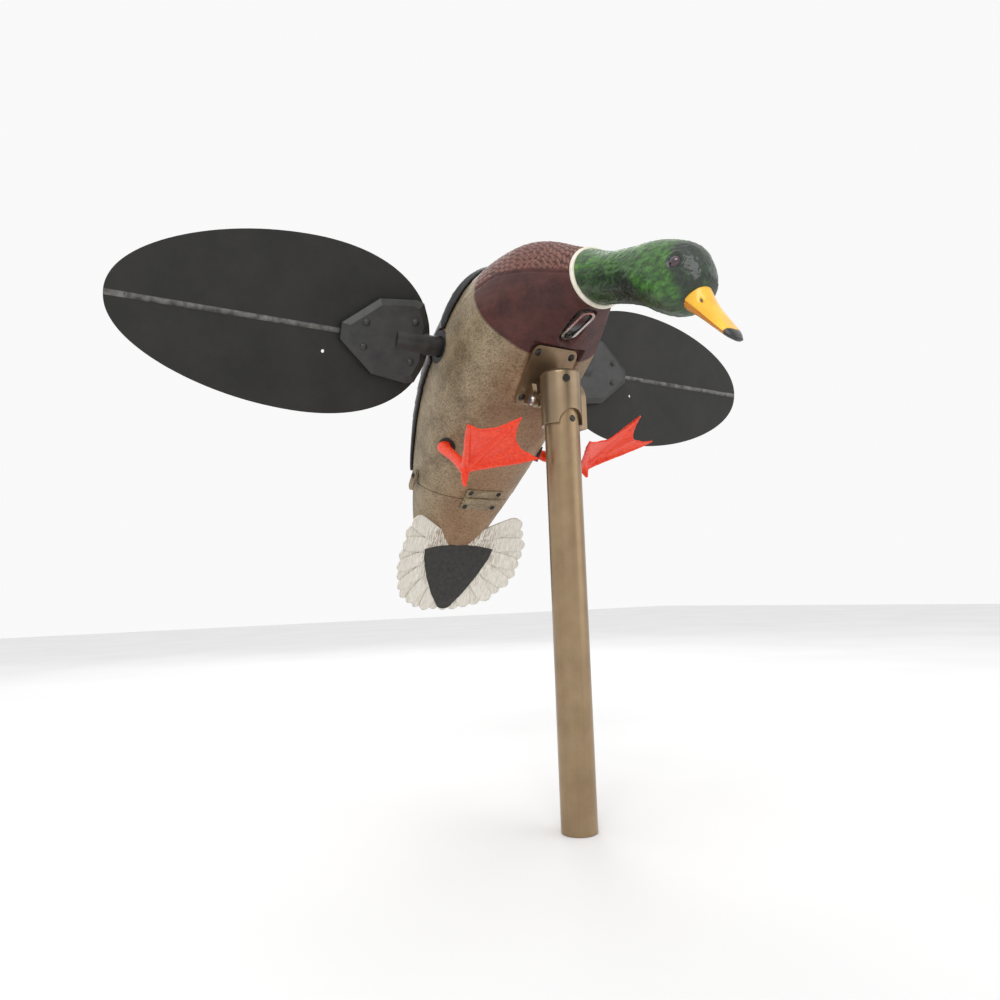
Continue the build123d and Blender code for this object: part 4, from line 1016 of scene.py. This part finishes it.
def tail_fan():
    """White fan of overlapping feathers."""
    count, half_thick = 25, 0.75
    blades, root = [], []
    for index in range(count):
        points, share = feather_blade(index, count)
        blades.append(slab(points + FAN_UP * half_thick, points - FAN_UP * half_thick))
        root += [1 - smooth(0.35, 0.75, share).ravel()] * 2
    verts, faces = join(blades)
    obj = make_object("tail_feathers", world(verts), faces, "tail_hatch", "fan_paint")
    paint(obj, "root", np.concatenate(root))
    clean(obj)
    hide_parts("tail_fan")


def tail_coverts():
    """Black under-tail wedge, domed and finely tooled."""
    rows, columns = 70, 46
    s = np.linspace(0, 1, rows)[:, None]
    c = np.linspace(-1, 1, columns)[None, :]
    half_w = np.interp(s, [0, 0.15, 0.45, 0.75, 0.93, 1], [43, 41, 32, 20, 11, 8])
    x = half_w * c
    v = -12 + 81 * s + 3 * (1 - s) * c ** 2 - 3 * s ** 6 * c ** 2
    dome = np.sqrt(np.clip(1 - c ** 2, 0, 1)) * smooth(0, 0.1, s) * smooth(1.0, 0.8, s)
    points = fan_place(x, v, -1.9 - 2.6 * dome)
    points = points + FAN_UP * (0.22 * hash_noise(points, 2.4, 3.0))[..., None]
    verts, faces = slab(points, fan_place(x, v, -0.4))
    obj = make_object("under_tail", world(verts), faces, "tail_hatch", "coverts_paint")
    clean(obj)
    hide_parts("tail_coverts")


# ---------------------------------------------------------------- feet
LEG_ROOT = np.array([56.0, 10.0, -98.0])
LEG_OUT = np.array([0.78, -0.50, -0.38])
LEG_OUT = LEG_OUT / np.linalg.norm(LEG_OUT)
TUBE_SIDE = (0.31, 0.2, 0.93)                # any direction that no leg or toe runs along
# The right foot's joints and tips.
FOOT = {
    "heel": (-69.3, -49.1, -130.7), "outer": (-103.6, -115.2, -106.6),
    "middle": (-66.5, -140.0, -102.6), "inner": (-29.6, -110.0, -129.4), "hind": (-72.0, -50.9, -148.5)}
# The left foot is the right one mirrored and then lifted by these heights.
LEFT_LIFT = {"heel": 9.9, "outer": 3.0, "middle": 14.8, "inner": 20.4, "hind": 16.5}


def foot_point(side, key):
    """A joint or tip of one foot: side is -1 for the right foot and 1 for the left."""
    x, y, z = FOOT[key]
    if side < 0:
        return np.array([x, y, z])
    return np.array([-x, y, z + LEFT_LIFT[key]])


def unit_rows(vectors):
    """Each row at length 1."""
    return vectors / np.linalg.norm(vectors, axis=1, keepdims=True)


def limb(path, radii):
    """A tube along given points with changing radius and closed ends."""
    steps, sides = 14, 20
    path = np.array(path, float)
    padded = pad_ends(path)
    reach = np.linspace(0, len(path) - 1, steps * (len(path) - 1) + 1)
    spine = []
    for s in reach:
        i = min(int(s), len(path) - 2)
        spine.append(catmull(padded, i, s - i))
    size = np.interp(reach, range(len(radii)), radii)
    tangent = np.gradient(np.array(spine), axis=0)
    side = unit_rows(np.cross(tangent, TUBE_SIDE))
    other = unit_rows(np.cross(tangent, side))
    turn = np.linspace(0, 2 * math.pi, sides, endpoint=False)
    rings = []
    for middle, radius, a, b in zip(spine, size, side, other):
        rings.append(middle + radius * (np.outer(np.cos(turn), a) + np.outer(np.sin(turn), b)))
    return capped(np.array(rings), (spine[0], spine[-1]))


def web_sheet(heel, tip_a, tip_b):
    """Drawn-in web between two toes, sagging a little between them."""
    rows, columns, half_thick = 26, 18, 0.85
    normal = np.cross(tip_a - heel, tip_b - heel)
    normal /= np.linalg.norm(normal)
    s = np.linspace(0.04, 1, rows)[:, None]
    c = np.linspace(0, 1, columns)[None, :]
    pull = 1 - 0.20 * np.sin(math.pi * c) ** 0.8 * s ** 3
    spread = (tip_a - heel) * (1 - c[..., None]) + (tip_b - heel) * c[..., None]
    sag = 2.2 * np.sin(math.pi * c) * s + 0.5 * np.sin(c * 5 * math.pi) * s
    point = heel + spread * (s * pull)[..., None] + sag[..., None] * normal
    return slab(point + normal * half_thick, point - normal * half_thick)


def foot(name, side):
    """Leg, knobbly joint, three webbed toes and a hind toe, welded into one skin."""
    mirror = np.array([side, 1, 1])
    root, out = LEG_ROOT * mirror, LEG_OUT * mirror
    heel, outer, middle, inner, hind = [
        foot_point(side, key) for key in ("heel", "outer", "middle", "inner", "hind")]
    knee = root + out * 8
    shin = (knee + heel) / 2 + [0, 0, 1.0]
    parts = [
        limb([root - out * 10, root + out * 2, knee, shin, heel], [5.3, 5.4, 6.0, 5.0, 5.8]),
        limb([heel + [0, 4, 1], heel, heel + (middle - heel) * 0.06], [5.2, 6.0, 4.4])]
    for tip in (outer, middle, inner):
        toe = [heel, heel + (tip - heel) * 0.3, (heel + tip) / 2, heel + (tip - heel) * 0.75, tip]
        parts.append(limb(toe, [4.2, 3.2, 2.9, 2.5, 1.0]))
    parts.append(limb([heel, (heel + hind) / 2, hind], [4.6, 3.4, 1.3]))
    parts.append(web_sheet(heel, outer, middle))
    parts.append(web_sheet(heel, middle, inner))
    verts, faces = join(parts)
    obj = make_object(f"webbed_foot_{name}", world(verts), faces, f"foot_{name}", "foot_orange")
    clean(obj)
    weld(obj, voxel=0.9 * MM)
    wrinkle(obj, depth=0.22)
    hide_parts(f"foot_{name}")


def weld(obj, voxel):
    """Joins overlapping closed parts into one smooth skin."""
    modifier = obj.modifiers.new("weld", "REMESH")
    modifier.mode = "VOXEL"
    modifier.voxel_size = voxel
    modifier.use_smooth_shade = True
    relax = obj.modifiers.new("relax", "SMOOTH")
    relax.factor = 0.5
    relax.iterations = 3
    apply_modifiers(obj)


def apply_modifiers(obj):
    """Swaps the mesh for its modified result and keeps the materials."""
    graph = bpy.context.evaluated_depsgraph_get()
    mesh = bpy.data.meshes.new_from_object(obj.evaluated_get(graph))
    materials = list(obj.data.materials)
    obj.modifiers.clear()
    obj.data = mesh
    if not mesh.materials:
        for m in materials:
            mesh.materials.append(m)


def wrinkle(obj, depth):
    """Small skin folds moved along the normals."""
    count = len(obj.data.vertices)
    co = np.zeros(count * 3)
    no = np.zeros(count * 3)
    obj.data.vertices.foreach_get("co", co)
    obj.data.vertices.foreach_get("normal", no)
    co, no = co.reshape(-1, 3), no.reshape(-1, 3)
    grain = hash_noise(co / MM * [1.0, 0.7, 2.2], 3.2, 2.0)
    co = co + no * (grain * depth * MM)[:, None]
    obj.data.vertices.foreach_set("co", co.ravel())
    obj.data.update()


# ---------------------------------------------------------------- stage, light and camera
def area_light(name, place, target, size, power):
    """A square soft light that faces the target."""
    data = bpy.data.lights.new(name, "AREA")
    data.energy = power
    data.size = size
    light = bpy.data.objects.new(name, data)
    bpy.context.scene.collection.objects.link(light)
    light.location = place
    light.rotation_euler = (Vector(target) - Vector(place)).to_track_quat("-Z", "Y").to_euler()


def stage():
    """Plain pale floor and soft studio light."""
    reach = 6.0
    corners = [(-reach, -reach, 0), (reach, -reach, 0), (reach, reach, 0), (-reach, reach, 0)]
    mesh = bpy.data.meshes.new("floor")
    mesh.from_pydata(corners, [], [(0, 1, 2, 3)])
    floor = bpy.data.objects.new("floor", mesh)
    bpy.context.scene.collection.objects.link(floor)
    floor.location.z = cad_box[0][2] - 0.0005
    n = Nodes("floor_paper", 0.9, specular=0.1)
    n.color(n.ramp(n.noise(3, 2.0), [(0.3, (0.80, 0.80, 0.80)), (0.7, (0.84, 0.84, 0.84))]))
    mesh.materials.append(n.material)
    background = bpy.data.worlds.new("studio")
    bpy.context.scene.world = background
    bpy.context.scene.view_settings.view_transform = "Standard"
    background.use_nodes = True
    background.node_tree.nodes["Background"].inputs[0].default_value = (1, 1, 1, 1)
    background.node_tree.nodes["Background"].inputs[1].default_value = 0.95
    target = (0, 0.05, 0.42)
    area_light("key", (-1.3, -1.5, 1.9), target, 1.4, 22)
    area_light("fill", (1.5, -1.4, 0.9), target, 1.6, 7)
    area_light("rim", (0.6, 1.7, 1.6), target, 1.2, 12)


def camera():
    """The photograph's viewpoint: low, ahead of the bird's right shoulder."""
    place = (-0.4091, -0.5339, 0.2036)
    right = Vector((0.8455, -0.5329, -0.0323)).normalized()
    look = Vector((0.5325, 0.8373, 0.1238)).normalized()
    data = bpy.data.cameras.new("camera")
    data.lens = 27.0
    data.sensor_width = 36.0
    data.clip_start = 0.02
    eye = bpy.data.objects.new("camera", data)
    bpy.context.scene.collection.objects.link(eye)
    up = right.cross(look).normalized()
    turn = Matrix((right, up, -look)).transposed()
    eye.matrix_world = Matrix.Translation(place) @ turn.to_4x4()
    bpy.context.scene.camera = eye


dress_cad_nodes()
body_skin()
wing_saddle()
head_skin()
bill_skin()
neck_ring()
tail_fan()
tail_coverts()
foot("right", -1)
foot("left", 1)
stage()
camera()
